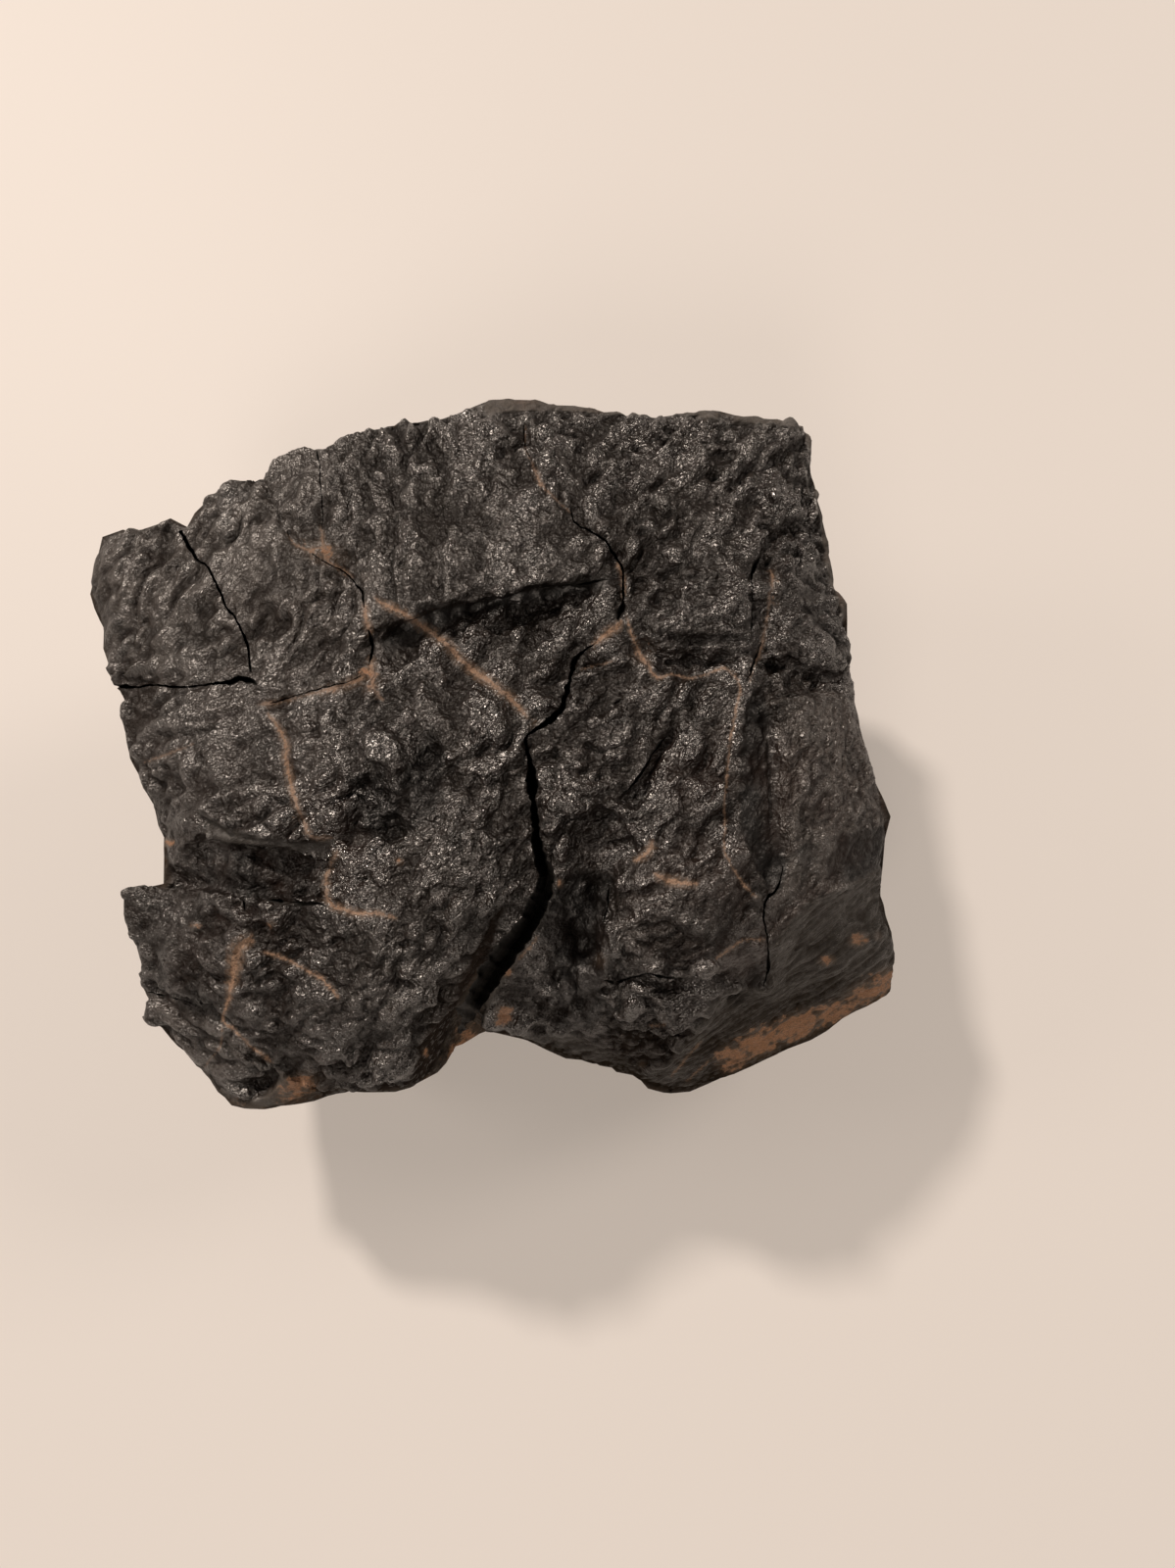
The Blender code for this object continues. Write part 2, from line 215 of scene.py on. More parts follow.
def wandering(line, amount, size, seed):
    # The line with small bends of this size added, all in pixels.
    sideways = np.array([noise.noise_vector(Vector((*p[:2] / size, 7.3 * seed))) for p in line])
    moved = line.copy()
    moved[:, :2] += amount * sideways[:, :2]
    return moved


def besideLine(pixels, line, margin):
    # For each point: signed distance to the right of the line, and share of the way along it.
    # Beyond the margin the distance is just the margin.
    side = np.full(len(pixels), margin)
    share = np.zeros(len(pixels))
    low = line[:, :2].min(axis=0) - margin
    high = line[:, :2].max(axis=0) + margin
    near = np.nonzero(np.all((pixels > low) & (pixels < high), axis=1))[0]
    at = pixels[near]
    best = np.full(len(near), margin)
    bestSide = np.full(len(near), margin)
    bestShare = np.zeros(len(near))
    lengths = np.linalg.norm(np.diff(line[:, :2], axis=0), axis=1)
    starts = np.concatenate(((0.0,), np.cumsum(lengths)))
    for i, length in enumerate(lengths):
        way = (line[i + 1, :2] - line[i, :2]) / length
        off = at - line[i, :2]
        along = np.clip(reachAlong(off, way), 0.0, length)
        gap = off - along[:, None] * way
        distance = np.hypot(gap[:, 0], gap[:, 1])
        closer = distance < best
        turn = way[0] * gap[:, 1] - way[1] * gap[:, 0]
        best = np.where(closer, distance, best)
        bestSide = np.where(closer, np.copysign(distance, turn), bestSide)
        bestShare = np.where(closer, (starts[i] + along) / starts[-1], bestShare)
    side[near] = bestSide
    share[near] = bestShare
    return side, share


def insideOf(pixels, corners, soft):
    # 1 inside the outline, 0 outside, with an edge this many pixels wide.
    corners = np.array(corners, float)
    side = np.full(len(pixels), 1e9)
    odd = np.zeros(len(pixels), bool)
    for a, b in zip(corners, np.roll(corners, -1, axis=0)):
        way = b - a
        off = pixels - a
        along = np.clip(reachAlong(off, way) / (way @ way), 0.0, 1.0)
        side = np.minimum(side, np.linalg.norm(off - along[:, None] * way, axis=1))
        crosses = (a[1] > pixels[:, 1]) != (b[1] > pixels[:, 1])
        if a[1] != b[1]:
            at = a[0] + (pixels[:, 1] - a[1]) * way[0] / way[1]
            odd ^= crosses & (pixels[:, 0] < at)
    signed = np.where(odd, side, -side)
    return eased(0.5 + signed / soft)


# Ledges: on the right of the line, looking along it, the face drops by this many mm within
# run, and is level again after reach. lip stands up along the brink, and wander is how much
# the line bends by itself, in pixels. Relief of this kind fades out at the ends of its line.

ledgeShape = dict(wander=2.5, bend=10.0, lipWidth=5.0, margin=30)
endFade = 0.12  # of a line's length

ledges = {
    "shelf": dict(drop=3.0, run=10, reach=34, lip=0.3, line=[
        (380, 652), (392, 641), (410, 631), (429, 623), (445, 617), (462, 616), (482, 612),
        (501, 608), (515, 605), (535, 599), (561, 596), (581, 593), (594, 588), (615, 585)]),
    "lipBand": dict(drop=0.9, run=3, reach=60, lip=0.25, wander=0.5, line=[
        (200, 822), (206, 828), (214, 833), (232, 845), (258, 853), (285, 857), (314, 858),
        (346, 854)]),
    "underBand": dict(drop=2.6, run=4, reach=46, lip=0.45, wander=0.5, line=[
        (203, 846), (209, 852), (216, 858), (232, 863), (258, 866), (285, 869), (311, 870),
        (330, 866), (345, 858)]),
    "lowBlock": dict(drop=2.4, run=4, reach=24, lip=0.35, line=[
        (345, 926), (330, 923), (311, 920), (255, 917), (225, 915), (214, 910), (178, 908),
        (150, 905), (122, 904)]),
    "lowFragment": dict(drop=1.2, run=4, reach=60, lip=0.1, line=[
        (148, 1011), (160, 1014), (176, 1016), (199, 1025), (227, 1037), (240, 1052), (258, 1069),
        (280, 1087), (298, 1103)]),
    "scarFoot": dict(drop=-1.7, run=4, reach=60, lip=0.3, wander=0.8, line=[
        (800, 882), (798, 850), (795, 822), (794, 790), (792, 760), (786, 735), (778, 706)]),
    "farTrough": dict(drop=2.6, run=13, reach=24, lip=0.4, line=[
        (655, 640), (668, 652), (690, 658), (716, 658), (742, 663), (764, 668)]),
    "sideTrough": dict(drop=1.8, run=8, reach=24, lip=0.3, line=[
        (790, 660), (805, 672), (826, 678), (846, 684), (866, 690)]),
    "patchSide": dict(drop=2.4, run=5, reach=60, lip=0.35, line=[
        (662, 862), (650, 872), (635, 881), (628, 899), (621, 932), (611, 955), (611, 972),
        (618, 994)]),
    "patchFoot": dict(drop=1.3, run=4, reach=34, lip=0.25, line=[
        (614, 1000), (628, 1003), (642, 998), (661, 994), (680, 998), (700, 998), (716, 994)]),
    "gouge": dict(drop=1.9, run=4, reach=30, lip=0.35, line=[
        (628, 818), (640, 806), (652, 793), (661, 778), (669, 765), (679, 752), (690, 740)]),
    "crackBrow": dict(drop=-1.2, run=14, reach=30, lip=0.0, line=[
        (606, 656), (588, 672), (560, 690), (528, 700), (505, 696)]),
    "flake": dict(drop=-0.5, run=3, reach=40, lip=0.1, line=[
        (724, 998), (728, 985), (735, 976), (752, 967), (771, 959), (783, 958)]),
    "blockBrow": dict(drop=0.8, run=7, reach=50, lip=0.2, line=[
        (300, 555), (292, 545), (284, 526), (276, 505), (271, 488)]),
}

# Narrow valleys along a line: the line, how deep in mm and how wide in pixels. The cracks and
# the clay lines lie in shallow ones of their own.

grooveShape = dict(wander=2.0, bend=9.0, margin=5)
crackGroove = dict(depth=0.45, width=5.0)
veinGroove = dict(depth=0.3, width=3.0)

grooves = {
    "blockGroove": ([(271, 485), (275, 500), (283, 520), (293, 543), (306, 553)], 1.2, 5.0),
    "blockFoot": ([(300, 554), (316, 556), (330, 553)], 0.7, 4.0),
    "satinEdge": ([(786, 735), (793, 760), (795, 790), (796, 822), (799, 850), (800, 880),
        (797, 903)], 0.6, 3.0),
    "fragmentEdge": ([(150, 1013), (176, 1017), (199, 1026), (227, 1038)], 0.9, 4.0),
    "flowA": ([(555, 962), (564, 985), (570, 1010), (573, 1045)], 0.8, 4.0),
    "flowB": ([(585, 940), (590, 970), (588, 1000), (592, 1040)], 0.8, 5.0),
    "flowC": ([(604, 905), (597, 930), (592, 955)], 0.6, 4.0),
    "lowCrease": ([(244, 916), (236, 932), (246, 948), (247, 958)], 0.5, 3.0),
    "foldA": ([(620, 440), (610, 470), (612, 500)], 0.8, 6.0),
    "foldB": ([(655, 450), (640, 485), (650, 520), (672, 540)], 0.9, 6.0),
    "foldC": ([(700, 440), (690, 480), (672, 505)], 0.9, 7.0),
    "foldD": ([(745, 450), (728, 490), (735, 520), (715, 555)], 0.9, 7.0),
    "foldE": ([(790, 460), (778, 500), (790, 530), (786, 560)], 0.9, 6.0),
    "foldF": ([(700, 560), (735, 545), (770, 548)], 0.8, 6.0),
    "foldG": ([(645, 600), (680, 590), (712, 600), (742, 590)], 0.8, 6.0),
    "foldH": ([(800, 600), (820, 622), (846, 628)], 0.8, 6.0),
    "foldI": ([(395, 460), (405, 490), (400, 520)], 0.6, 5.0),
    "foldJ": ([(560, 430), (566, 465), (580, 495)], 0.7, 6.0),
    "foldK": ([(350, 465), (358, 500), (352, 535), (362, 560)], 0.8, 5.0),
    "ripple1": ([(560, 770), (590, 765), (620, 768)], 0.6, 4.0),
    "ripple2": ([(562, 800), (595, 792), (628, 800)], 0.6, 4.0),
    "ripple3": ([(566, 835), (600, 828), (640, 838), (668, 850)], 0.7, 5.0),
    "slopeA": ([(140, 740), (175, 752), (215, 748)], 0.6, 5.0),
    "slopeB": ([(150, 800), (190, 806), (225, 800)], 0.6, 5.0),
}

# Humps and pits: middle, half width, half height in pixels, turn in degrees, rise in mm.

humpFall = 1.3  # how steeply they end

humps = {
    "shelfPit": (412, 653, 38, 15, -20, -1.2),
    "recess": (545, 672, 44, 17, -38, -1.5),
    "recessRise": (470, 655, 40, 14, -12, 0.7),
    "glossyKnob": (390, 763, 32, 17, 45, 0.8),
    "knobHollow": (434, 768, 18, 34, -15, -2.6),
    "knobPit": (370, 812, 28, 17, 0, -2.4),
    "knobLow": (402, 846, 22, 13, 10, -1.4),
    "knobLump": (410, 812, 15, 12, 20, 0.9),
    "redPit": (371, 896, 13, 9, 0, -1.4),
    "farRise": (470, 520, 80, 30, -10, 0.5),
    "farHollow": (455, 470, 50, 14, -20, -0.6),
    "rightHead": (801, 578, 14, 10, 20, 0.8),
    "rightValley": (786, 640, 11, 50, 3, -1.7),
    "darkPit": (757, 1019, 16, 9, -12, -2.6),
    "patchRise": (690, 945, 50, 40, 0, 0.8),
    "grooveFloor": (592, 965, 26, 80, 8, -1.5),
    "gougeHead": (664, 740, 9, 13, 30, -1.3),
    "gougeTail": (612, 842, 26, 12, -35, -1.2),
    "smallPit": (410, 965, 13, 8, 20, -1.3),
    "pit2": (470, 865, 14, 8, 20, -0.7),
    "pit3": (345, 960, 16, 8, 10, -0.7),
    "pit4": (430, 1005, 12, 7, 30, -0.6),
    "pit5": (500, 820, 10, 22, 0, -0.7),
    "fragmentCorner": (150, 1038, 14, 12, 0, 2.4),
    "blockCorner": (125, 908, 13, 11, 0, 1.3),
    "leftDip": (165, 735, 40, 14, -8, 0.5),
    "panelLump": (238, 888, 18, 13, 10, 0.9),
    "panelPit": (285, 897, 20, 12, 0, -0.8),
    "cornerRise": (140, 935, 30, 26, 0, 0.3),
    "cornerDent": (190, 960, 24, 12, -15, -0.7),
    "blockDent1": (142, 630, 18, 10, 30, -0.8),
    "blockDent2": (190, 600, 16, 9, 40, 0.6),
    "blockDent3": (165, 655, 22, 9, -10, 0.5),
    "blockDent4": (240, 560, 14, 20, 20, -0.6),
    "blockDent5": (300, 620, 18, 12, 30, 0.5),
    "blockTop": (262, 505, 20, 12, -30, 0.6),
    "fragmentRise": (180, 1040, 22, 12, 20, 0.6),
    "thirdFlat": (305, 500, 14, 34, 10, 0.5),
}

# Tilted facets: the corners in pixels, where the slope starts and ends, and its rise in mm.

rampEdge = 6  # pixels
flakeOutline = [(724, 998), (735, 976), (752, 967), (771, 959), (783, 958), (782, 1007), (768, 1007)]

ramps = {
    "glossyKnob": dict(start=(366, 742), end=(408, 788), rise=3.2, corners=[
        (363, 741), (385, 743), (400, 749), (412, 764), (413, 785), (405, 793), (394, 781),
        (380, 776), (369, 763)]),
    "redFlake": dict(start=(770, 960), end=(750, 1006), rise=-1.2, corners=flakeOutline),
    "lens": dict(start=(752, 800), end=(797, 800), rise=-2.0, corners=[
        (766, 706), (777, 706), (786, 735), (792, 760), (795, 790), (797, 850), (799, 885),
        (789, 906), (770, 880), (757, 850), (752, 800), (757, 750)]),
    "patch": dict(start=(760, 930), end=(620, 950), rise=1.6, corners=[
        (664, 864), (720, 880), (770, 930), (760, 965), (715, 992), (660, 992), (619, 992),
        (613, 960), (624, 935), (630, 900), (640, 884)]),
    "thirdBlock": dict(start=(320, 500), end=(278, 515), rise=1.2, corners=[
        (272, 490), (282, 470), (318, 452), (324, 500), (325, 545), (305, 550), (290, 535),
        (279, 510)]),
    "rightBlock": dict(start=(650, 600), end=(700, 655), rise=1.5, corners=[
        (641, 604), (700, 578), (760, 590), (764, 652), (720, 652), (668, 646), (648, 630)]),
}

# The crease between the rough crust and the striped facet at the lower right.

facetCrease = dict(
    line=[(640, 1104), (668, 1088), (691, 1070), (712, 1046), (727, 1024), (740, 1012),
          (769, 1008), (783, 1004), (786, 970), (805, 941), (826, 920), (850, 909), (880, 897),
          (903, 886)],
    rise=0.9, width=9, hollow=1.2, hollowWidth=60, margin=140, fade=(0.10, 0.06))

# Zones of the face that differ from the crust: the corners in pixels, the width of the edge,
# how much of the crust's waves is left, and how dark, dusty, broken or striped the face is.
# Dark is the face's own darker tone in some zones. In the zones named shade, under ledges and in
# hollows, it is painted shade.

zones = {
    "lens": dict(soft=4, waves=0.5, dark=1.0, corners=[
        (766, 700), (776, 704), (786, 735), (792, 760), (795, 790), (797, 850), (803, 885),
        (797, 908), (784, 908), (770, 882), (757, 850), (754, 800), (757, 750)]),
    "darkCorner": dict(soft=3, waves=0.5, dark=1.0, brown=0.5, corners=[
        (862, 852), (912, 840), (912, 884), (880, 899), (846, 903), (842, 880)]),
    "shelfShade": dict(soft=8, waves=0.2, dark=0.9, corners=[
        (386, 655), (404, 641), (429, 624), (445, 618), (462, 618), (482, 614), (501, 610),
        (515, 607), (535, 601), (561, 598), (581, 595), (604, 589), (628, 588), (618, 603),
        (596, 604), (581, 607), (541, 616), (495, 622), (445, 640), (420, 662), (395, 668)]),
    "underShade": dict(soft=8, waves=0.9, dark=0.8, corners=[
        (212, 862), (232, 866), (258, 869), (285, 872), (311, 873), (336, 866), (330, 884),
        (300, 884), (262, 884), (225, 880), (208, 872)]),
    "panelShade": dict(soft=6, waves=0.8, dark=0.8, corners=[
        (214, 884), (262, 882), (300, 884), (330, 884), (335, 908), (337, 922), (311, 920),
        (262, 917), (226, 913), (205, 905)]),
    "lipBand": dict(soft=2, waves=0.05, dark=0.5, stripes=0.5, brown=0.0, dust=0.4, corners=[
        (206, 840), (214, 833), (232, 845), (258, 853), (285, 857), (314, 858), (344, 855),
        (330, 866), (311, 870), (285, 868), (258, 865), (232, 862), (215, 857)]),
    "groove": dict(soft=12, waves=0.6, dark=1.0, corners=[
        (569, 896), (600, 885), (628, 893), (621, 932), (610, 955), (615, 995), (618, 1025),
        (602, 1051), (569, 1051), (572, 998), (559, 962), (546, 959), (555, 929)]),
    "lowBlock": dict(soft=16, waves=1.0, dark=0.4, corners=[
        (122, 906), (178, 909), (214, 912), (262, 920), (262, 955), (240, 980), (232, 1030),
        (199, 1024), (150, 1008), (137, 960)]),
    "fragment": dict(soft=3, waves=1.3, dust=0.6, gloss=0.6, corners=[
        (150, 1013), (176, 1017), (199, 1026), (227, 1039), (239, 1053), (265, 1076), (285, 1092),
        (300, 1105), (290, 1120), (263, 1124), (243, 1117), (211, 1092), (144, 1040)]),
    "flake": dict(soft=3, waves=0.9, brown=0.6, dark=0.4, corners=flakeOutline),
    "knob": dict(soft=5, waves=0.75, gloss=1.0, corners=[
        (364, 743), (384, 744), (400, 750), (413, 767), (413, 788), (402, 790), (385, 780),
        (371, 765)]),
    "knobShade": dict(soft=12, waves=1.0, dark=1.0, corners=[
        (350, 790), (372, 785), (405, 800), (420, 775), (440, 740), (456, 770), (446, 830),
        (400, 860), (352, 850)]),
    "facet": dict(soft=4, waves=0.12, stripes=1.0, dark=0.3, corners=[
        (691, 1070), (712, 1046), (727, 1024), (740, 1012), (769, 1008), (783, 1009), (785, 990),
        (787, 965), (805, 941), (826, 920), (850, 911), (880, 897), (906, 882), (930, 905),
        (930, 1020), (870, 1060), (745, 1130), (684, 1130), (640, 1104), (661, 1098), (680, 1088)]),
    "frontRim": dict(soft=4, waves=0.1, stripes=0.8, dark=0.3, corners=[
        (490, 1050), (526, 1052), (562, 1058), (585, 1055), (615, 1068), (641, 1084), (663, 1100),
        (684, 1130), (640, 1115), (550, 1090), (490, 1070)]),
    "cleftWall": dict(soft=4, waves=0.0, broken=1.0, corners=[
        (534, 953), (512, 970), (487, 991), (468, 1023), (448, 1077), (432, 1126), (482, 1108),
        (492, 1067), (496, 1034), (510, 1006), (536, 972)]),
    "fragmentSide": dict(soft=3, waves=0.0, broken=1.0, corners=[
        (212, 1095), (225, 1111), (248, 1123), (265, 1121), (280, 1111), (287, 1092), (298, 1099),
        (330, 1116), (290, 1140), (240, 1140), (200, 1092)]),
    "rightRim": dict(soft=3, waves=0.0, broken=1.0, corners=[
        (821, 440), (826, 462), (831, 490), (833, 516), (838, 548), (843, 580), (851, 606),
        (860, 632), (869, 662), (872, 690), (877, 720), (900, 700), (880, 560), (850, 440)]),
    "backRim": dict(soft=3, waves=0.0, broken=1.0, corners=[
        (496, 424), (520, 421), (560, 419), (640, 424), (700, 424), (735, 430), (735, 400),
        (560, 395), (490, 405)]),
    "backRimRight": dict(soft=3, waves=0.0, broken=1.0, corners=[
        (748, 431), (790, 434), (828, 440), (840, 425), (800, 415), (748, 415)]),
}


def fadedEnds(share, first, last):
    return eased(share / first) * eased((1 - share) / last)


def ledgeRelief(pixels, ledge, seed):
    shape = ledgeShape
    line = wandering(curveThrough(ledge["line"]), ledge.get("wander", shape["wander"]),
                     shape["bend"], seed)
    side, share = besideLine(pixels, line, ledge["run"] + ledge["reach"] + shape["margin"])
    fall = eased(side / ledge["run"]) * (1 - eased((side - ledge["run"]) / ledge["reach"]))
    lip = np.exp(-((side + shape["lipWidth"]) / shape["lipWidth"]) ** 2)
    return fadedEnds(share, endFade, endFade) * (ledge["lip"] * lip - ledge["drop"] * fall)


def grooveRelief(pixels, stops, depth, width, seed=0):
    line = curveThrough([stop[:2] for stop in stops])
    line = wandering(line, grooveShape["wander"], grooveShape["bend"], seed) if seed else line
    side, share = besideLine(pixels, line, grooveShape["margin"] * width)
    return -depth * fadedEnds(share, endFade, endFade) * np.exp(-((side / width) ** 2))


def ellipseFrom(pixels, u, v, halfWide, halfHigh, turn):
    # 0 in the middle, 1 on the ellipse's edge.
    x, y = turnedBy(turn, pixels[:, 0] - u, pixels[:, 1] - v)
    return (x / halfWide) ** 2 + (y / halfHigh) ** 2


def humpRelief(pixels, hump):
    return hump[-1] * np.exp(-humpFall * ellipseFrom(pixels, *hump[:-1]))


def rampRelief(pixels, slope):
    start, end = np.array(slope["start"], float), np.array(slope["end"], float)
    way = end - start
    along = np.clip(reachAlong(pixels - start, way) / (way @ way), 0, 1)
    return insideOf(pixels, slope["corners"], rampEdge) * slope["rise"] * along


def creaseRelief(pixels):
    crease = facetCrease
    side, share = besideLine(pixels, curveThrough(crease["line"]), crease["margin"])
    ends = fadedEnds(share, *crease["fade"])
    ridge = crease["rise"] * np.exp(-(side / crease["width"]) ** 2)
    inner = np.clip(side / crease["hollowWidth"], 0, 1)
    return ends * (ridge - crease["hollow"] * np.sin(math.pi * inner))


# What the crust is like at chosen spots: u, v, how high its wavelets and its larger folds are,
# the way they run in degrees (0 across, 90 up), then gloss, brown tint and dust, 0 to 1.

crustSpots = [
    (165, 620, 0.55, 0.9, 60, 0.2, 0.15, 0.6), (125, 600, 0.5, 0.9, 60, 0.2, 0.15, 0.65),
    (265, 600, 0.6, 1.1, 70, 0.2, 0.15, 0.6), (240, 540, 0.55, 1.0, 60, 0.25, 0.1, 0.65),
    (340, 640, 0.8, 1.3, 60, 0.3, 0.1, 0.5), (300, 500, 0.7, 1.1, 80, 0.3, 0.05, 0.45),
    (370, 500, 1.0, 1.6, 95, 0.5, 0.0, 0.2), (430, 470, 1.0, 1.5, 95, 0.5, 0.0, 0.25),
    (480, 560, 1.1, 1.0, 95, 0.55, 0.0, 0.3), (400, 590, 1.0, 1.0, 90, 0.5, 0.0, 0.35),
    (560, 470, 1.0, 1.5, 90, 0.55, 0.05, 0.15), (560, 560, 1.05, 1.1, 80, 0.5, 0.0, 0.2),
    (700, 500, 1.0, 1.8, 55, 0.6, 0.05, 0.25), (780, 520, 1.0, 1.8, 55, 0.6, 0.05, 0.2),
    (640, 470, 1.0, 1.7, 65, 0.6, 0.05, 0.1), (700, 610, 1.05, 1.5, 40, 0.55, 0.05, 0.05),
    (830, 600, 1.0, 1.4, 30, 0.5, 0.1, 0.0), (740, 645, 1.0, 1.7, 10, 0.6, 0.0, 0.0),
    (840, 660, 1.0, 1.3, 0, 0.5, 0.1, 0.0), (480, 680, 1.1, 1.5, 50, 0.6, 0.05, 0.1),
    (560, 640, 1.1, 1.7, 50, 0.6, 0.0, 0.05), (450, 720, 1.1, 1.1, 60, 0.5, 0.05, 0.2),
    (390, 690, 1.0, 1.4, 40, 0.4, 0.05, 0.15), (200, 800, 0.7, 1.2, 0, 0.3, 0.2, 0.2),
    (160, 730, 0.6, 1.1, 10, 0.3, 0.2, 0.25), (300, 770, 0.85, 0.8, 5, 0.3, 0.2, 0.15),
    (240, 720, 0.75, 1.0, 10, 0.3, 0.15, 0.25), (390, 760, 1.0, 0.6, 50, 0.9, 0.0, 0.1),
    (380, 830, 1.2, 1.9, 20, 1.0, 0.25, 0.0), (350, 880, 1.2, 1.8, 20, 0.9, 0.35, 0.0),
    (470, 800, 1.3, 1.6, 70, 0.75, 0.0, 0.3), (440, 900, 1.35, 1.6, 60, 0.8, 0.0, 0.25),
    (500, 900, 1.35, 1.3, 70, 0.9, 0.0, 0.1), (270, 890, 0.85, 1.6, 0, 0.5, 0.45, 0.0),
    (220, 885, 0.85, 1.6, 0, 0.4, 0.3, 0.0), (200, 960, 0.95, 0.8, -20, 0.2, 0.3, 0.05),
    (150, 935, 0.9, 0.7, -15, 0.2, 0.2, 0.1), (300, 1030, 1.1, 1.2, 20, 0.45, 0.15, 0.05),
    (330, 960, 1.1, 1.4, 30, 0.6, 0.05, 0.05), (400, 1040, 1.3, 1.5, 60, 0.7, 0.0, 0.35),
    (430, 980, 1.3, 1.5, 60, 0.75, 0.0, 0.35), (200, 1070, 0.45, 1.0, -15, 0.4, 0.2, 0.2),
    (600, 780, 1.15, 1.8, 15, 0.7, 0.05, 0.25), (600, 720, 1.1, 1.5, 10, 0.6, 0.05, 0.1),
    (650, 840, 1.15, 1.8, 35, 0.8, 0.1, 0.0), (690, 730, 1.1, 1.3, 60, 0.6, 0.15, 0.05),
    (705, 790, 1.05, 1.3, 60, 0.6, 0.35, 0.0), (720, 860, 0.85, 1.3, 60, 0.5, 0.4, 0.0),
    (840, 760, 1.3, 0.4, 50, 1.0, 0.4, 1.15), (830, 830, 1.3, 0.4, 50, 1.0, 0.5, 1.15),
    (820, 900, 1.1, 0.4, 50, 0.7, 0.45, 0.9), (865, 800, 1.3, 0.4, 50, 1.0, 0.4, 1.15),
    (680, 950, 1.35, 1.7, 20, 0.7, 0.2, 0.4), (740, 930, 1.0, 1.3, 40, 0.5, 0.5, 0.0),
    (590, 980, 0.6, 1.2, 95, 0.5, 0.1, 0.0), (530, 1025, 1.0, 1.3, 60, 0.6, 0.2, 0.05),
    (650, 1040, 1.25, 1.5, 20, 0.7, 0.0, 0.2), (800, 1000, 0.5, 0.5, 25, 0.2, 0.1, 0.1),
]
spotPull = dict(evenWithin=22.0, power=4)  # pixels, and how fast a spot's pull fades


def crustLook(pixels):
    spots = np.array(crustSpots, float)
    apart = np.linalg.norm(pixels[:, None, :] - spots[None, :, :2], axis=2)
    pull = 1.0 / (apart + spotPull["evenWithin"]) ** spotPull["power"]
    pull /= pull.sum(axis=1)[:, None]
    names = ("waves", "folds", "way", "gloss", "brown", "dust")
    look = {name: reachAlong(pull, values) for name, values in zip(names, spots.T[2:])}
    look |= dict(dark=0.0, stripes=0.0, broken=0.0)
    for zone in zones.values():
        inside = insideOf(pixels, zone["corners"], zone["soft"])
        for name in ("waves", "folds"):
            look[name] = look[name] * (1 + inside * (zone["waves"] - 1))
        for name in ("gloss", "brown", "dust", "dark", "stripes", "broken"):
            if name in zone:
                look[name] = look[name] + inside * (zone[name] - look[name])
    return look


# Folds of the crust, coarse to fine: size, height and how much longer than wide, in mm. They
# run in these ways, in degrees, and each place uses the ways near its own.

crustWaves = dict(
    folds=((8.5, 1.8, 2.6), (4.4, 1.9, 2.3), (2.4, 2.0, 2.0)),
    wavelet=(1.4, 0.9, 1.6),
    ways=(-20.0, 20.0, 58.0, 95.0), waySpread=24.0, leastShare=0.04,
    crestAt=0.6, level=0.22,  # where the tops are cut off, and what is level with the face
    bend=1.3, bendSize=5.0,
    patchy=0.5, patchSize=13.0, patchEdge=2.5,  # rougher and smoother patches
    # Dull and dark in the creases is painted shade, partly also dirt.
    highToLow=1.1,  # mm from the creases, where it is dull and dark, to the shiny tops
    lowShine=0.26, shine=0.50, plainShine=0.88, glossShine=0.36, darkShine=-0.45, sideShine=-0.9,
)
wallRelief = dict(
    facets=1.6, facetSize=11.0, facetSteps=4, stepped=0.5,
    chips=0.8, chipSize=4.2, chipLength=1.8, chipLevel=0.25,
    grit=0.3, gritSize=1.6, bend=1.5, bendSize=6.0,
    deeper=0.8, deepFrom=34.0, deepTo=18.0,  # rougher low down
)
flowRelief = dict(height=0.55, size=1.2, length=8.0, way=32.0, least=0.02)


def wayShares(look):
    pulls = [np.exp(-(((look["way"] - way) / crustWaves["waySpread"]) ** 2))
             for way in crustWaves["ways"]]
    return np.column_stack(pulls) / sum(pulls)[:, None]


def bentPlaces(points, bends, seeds):
    # The points moved about a little, so that what is drawn from noise there isn't straight.
    shift = np.column_stack([noiseAt(points, bends["bendSize"], seed) for seed in seeds])
    return points + bends["bend"] * shift


def crustRelief(points, look):
    waves = crustWaves
    shares = wayShares(look)
    relief = np.zeros(len(points))
    bent = bentPlaces(points, waves, (4, 5, 6))
    patches = noiseAt(points, waves["patchSize"], 9)
    patchy = 1 + waves["patchy"] * np.clip(waves["patchEdge"] * patches, -1, 1)
    rows = [(fold, look["folds"] * patchy) for fold in waves["folds"]]
    rows.append((waves["wavelet"], look["waves"]))
    for row, ((size, height, length), strength) in enumerate(rows):
        for k, way in enumerate(waves["ways"]):
            used = shares[:, k] * strength > waves["leastShare"]
            grain = noiseAt(bent[used], size, 10 + 4 * row + k, 1, (length, 1, 1), way)
            folded = np.minimum(np.abs(grain), waves["crestAt"]) - waves["level"]
            relief[used] += height * folded * strength[used] * shares[used, k]
    flow = flowRelief
    used = look["stripes"] > flow["least"]
    striped = noiseAt(bent[used], flow["size"], 40, 2, (flow["length"], 1, 1), flow["way"])
    relief[used] += flow["height"] * striped * look["stripes"][used]
    return relief


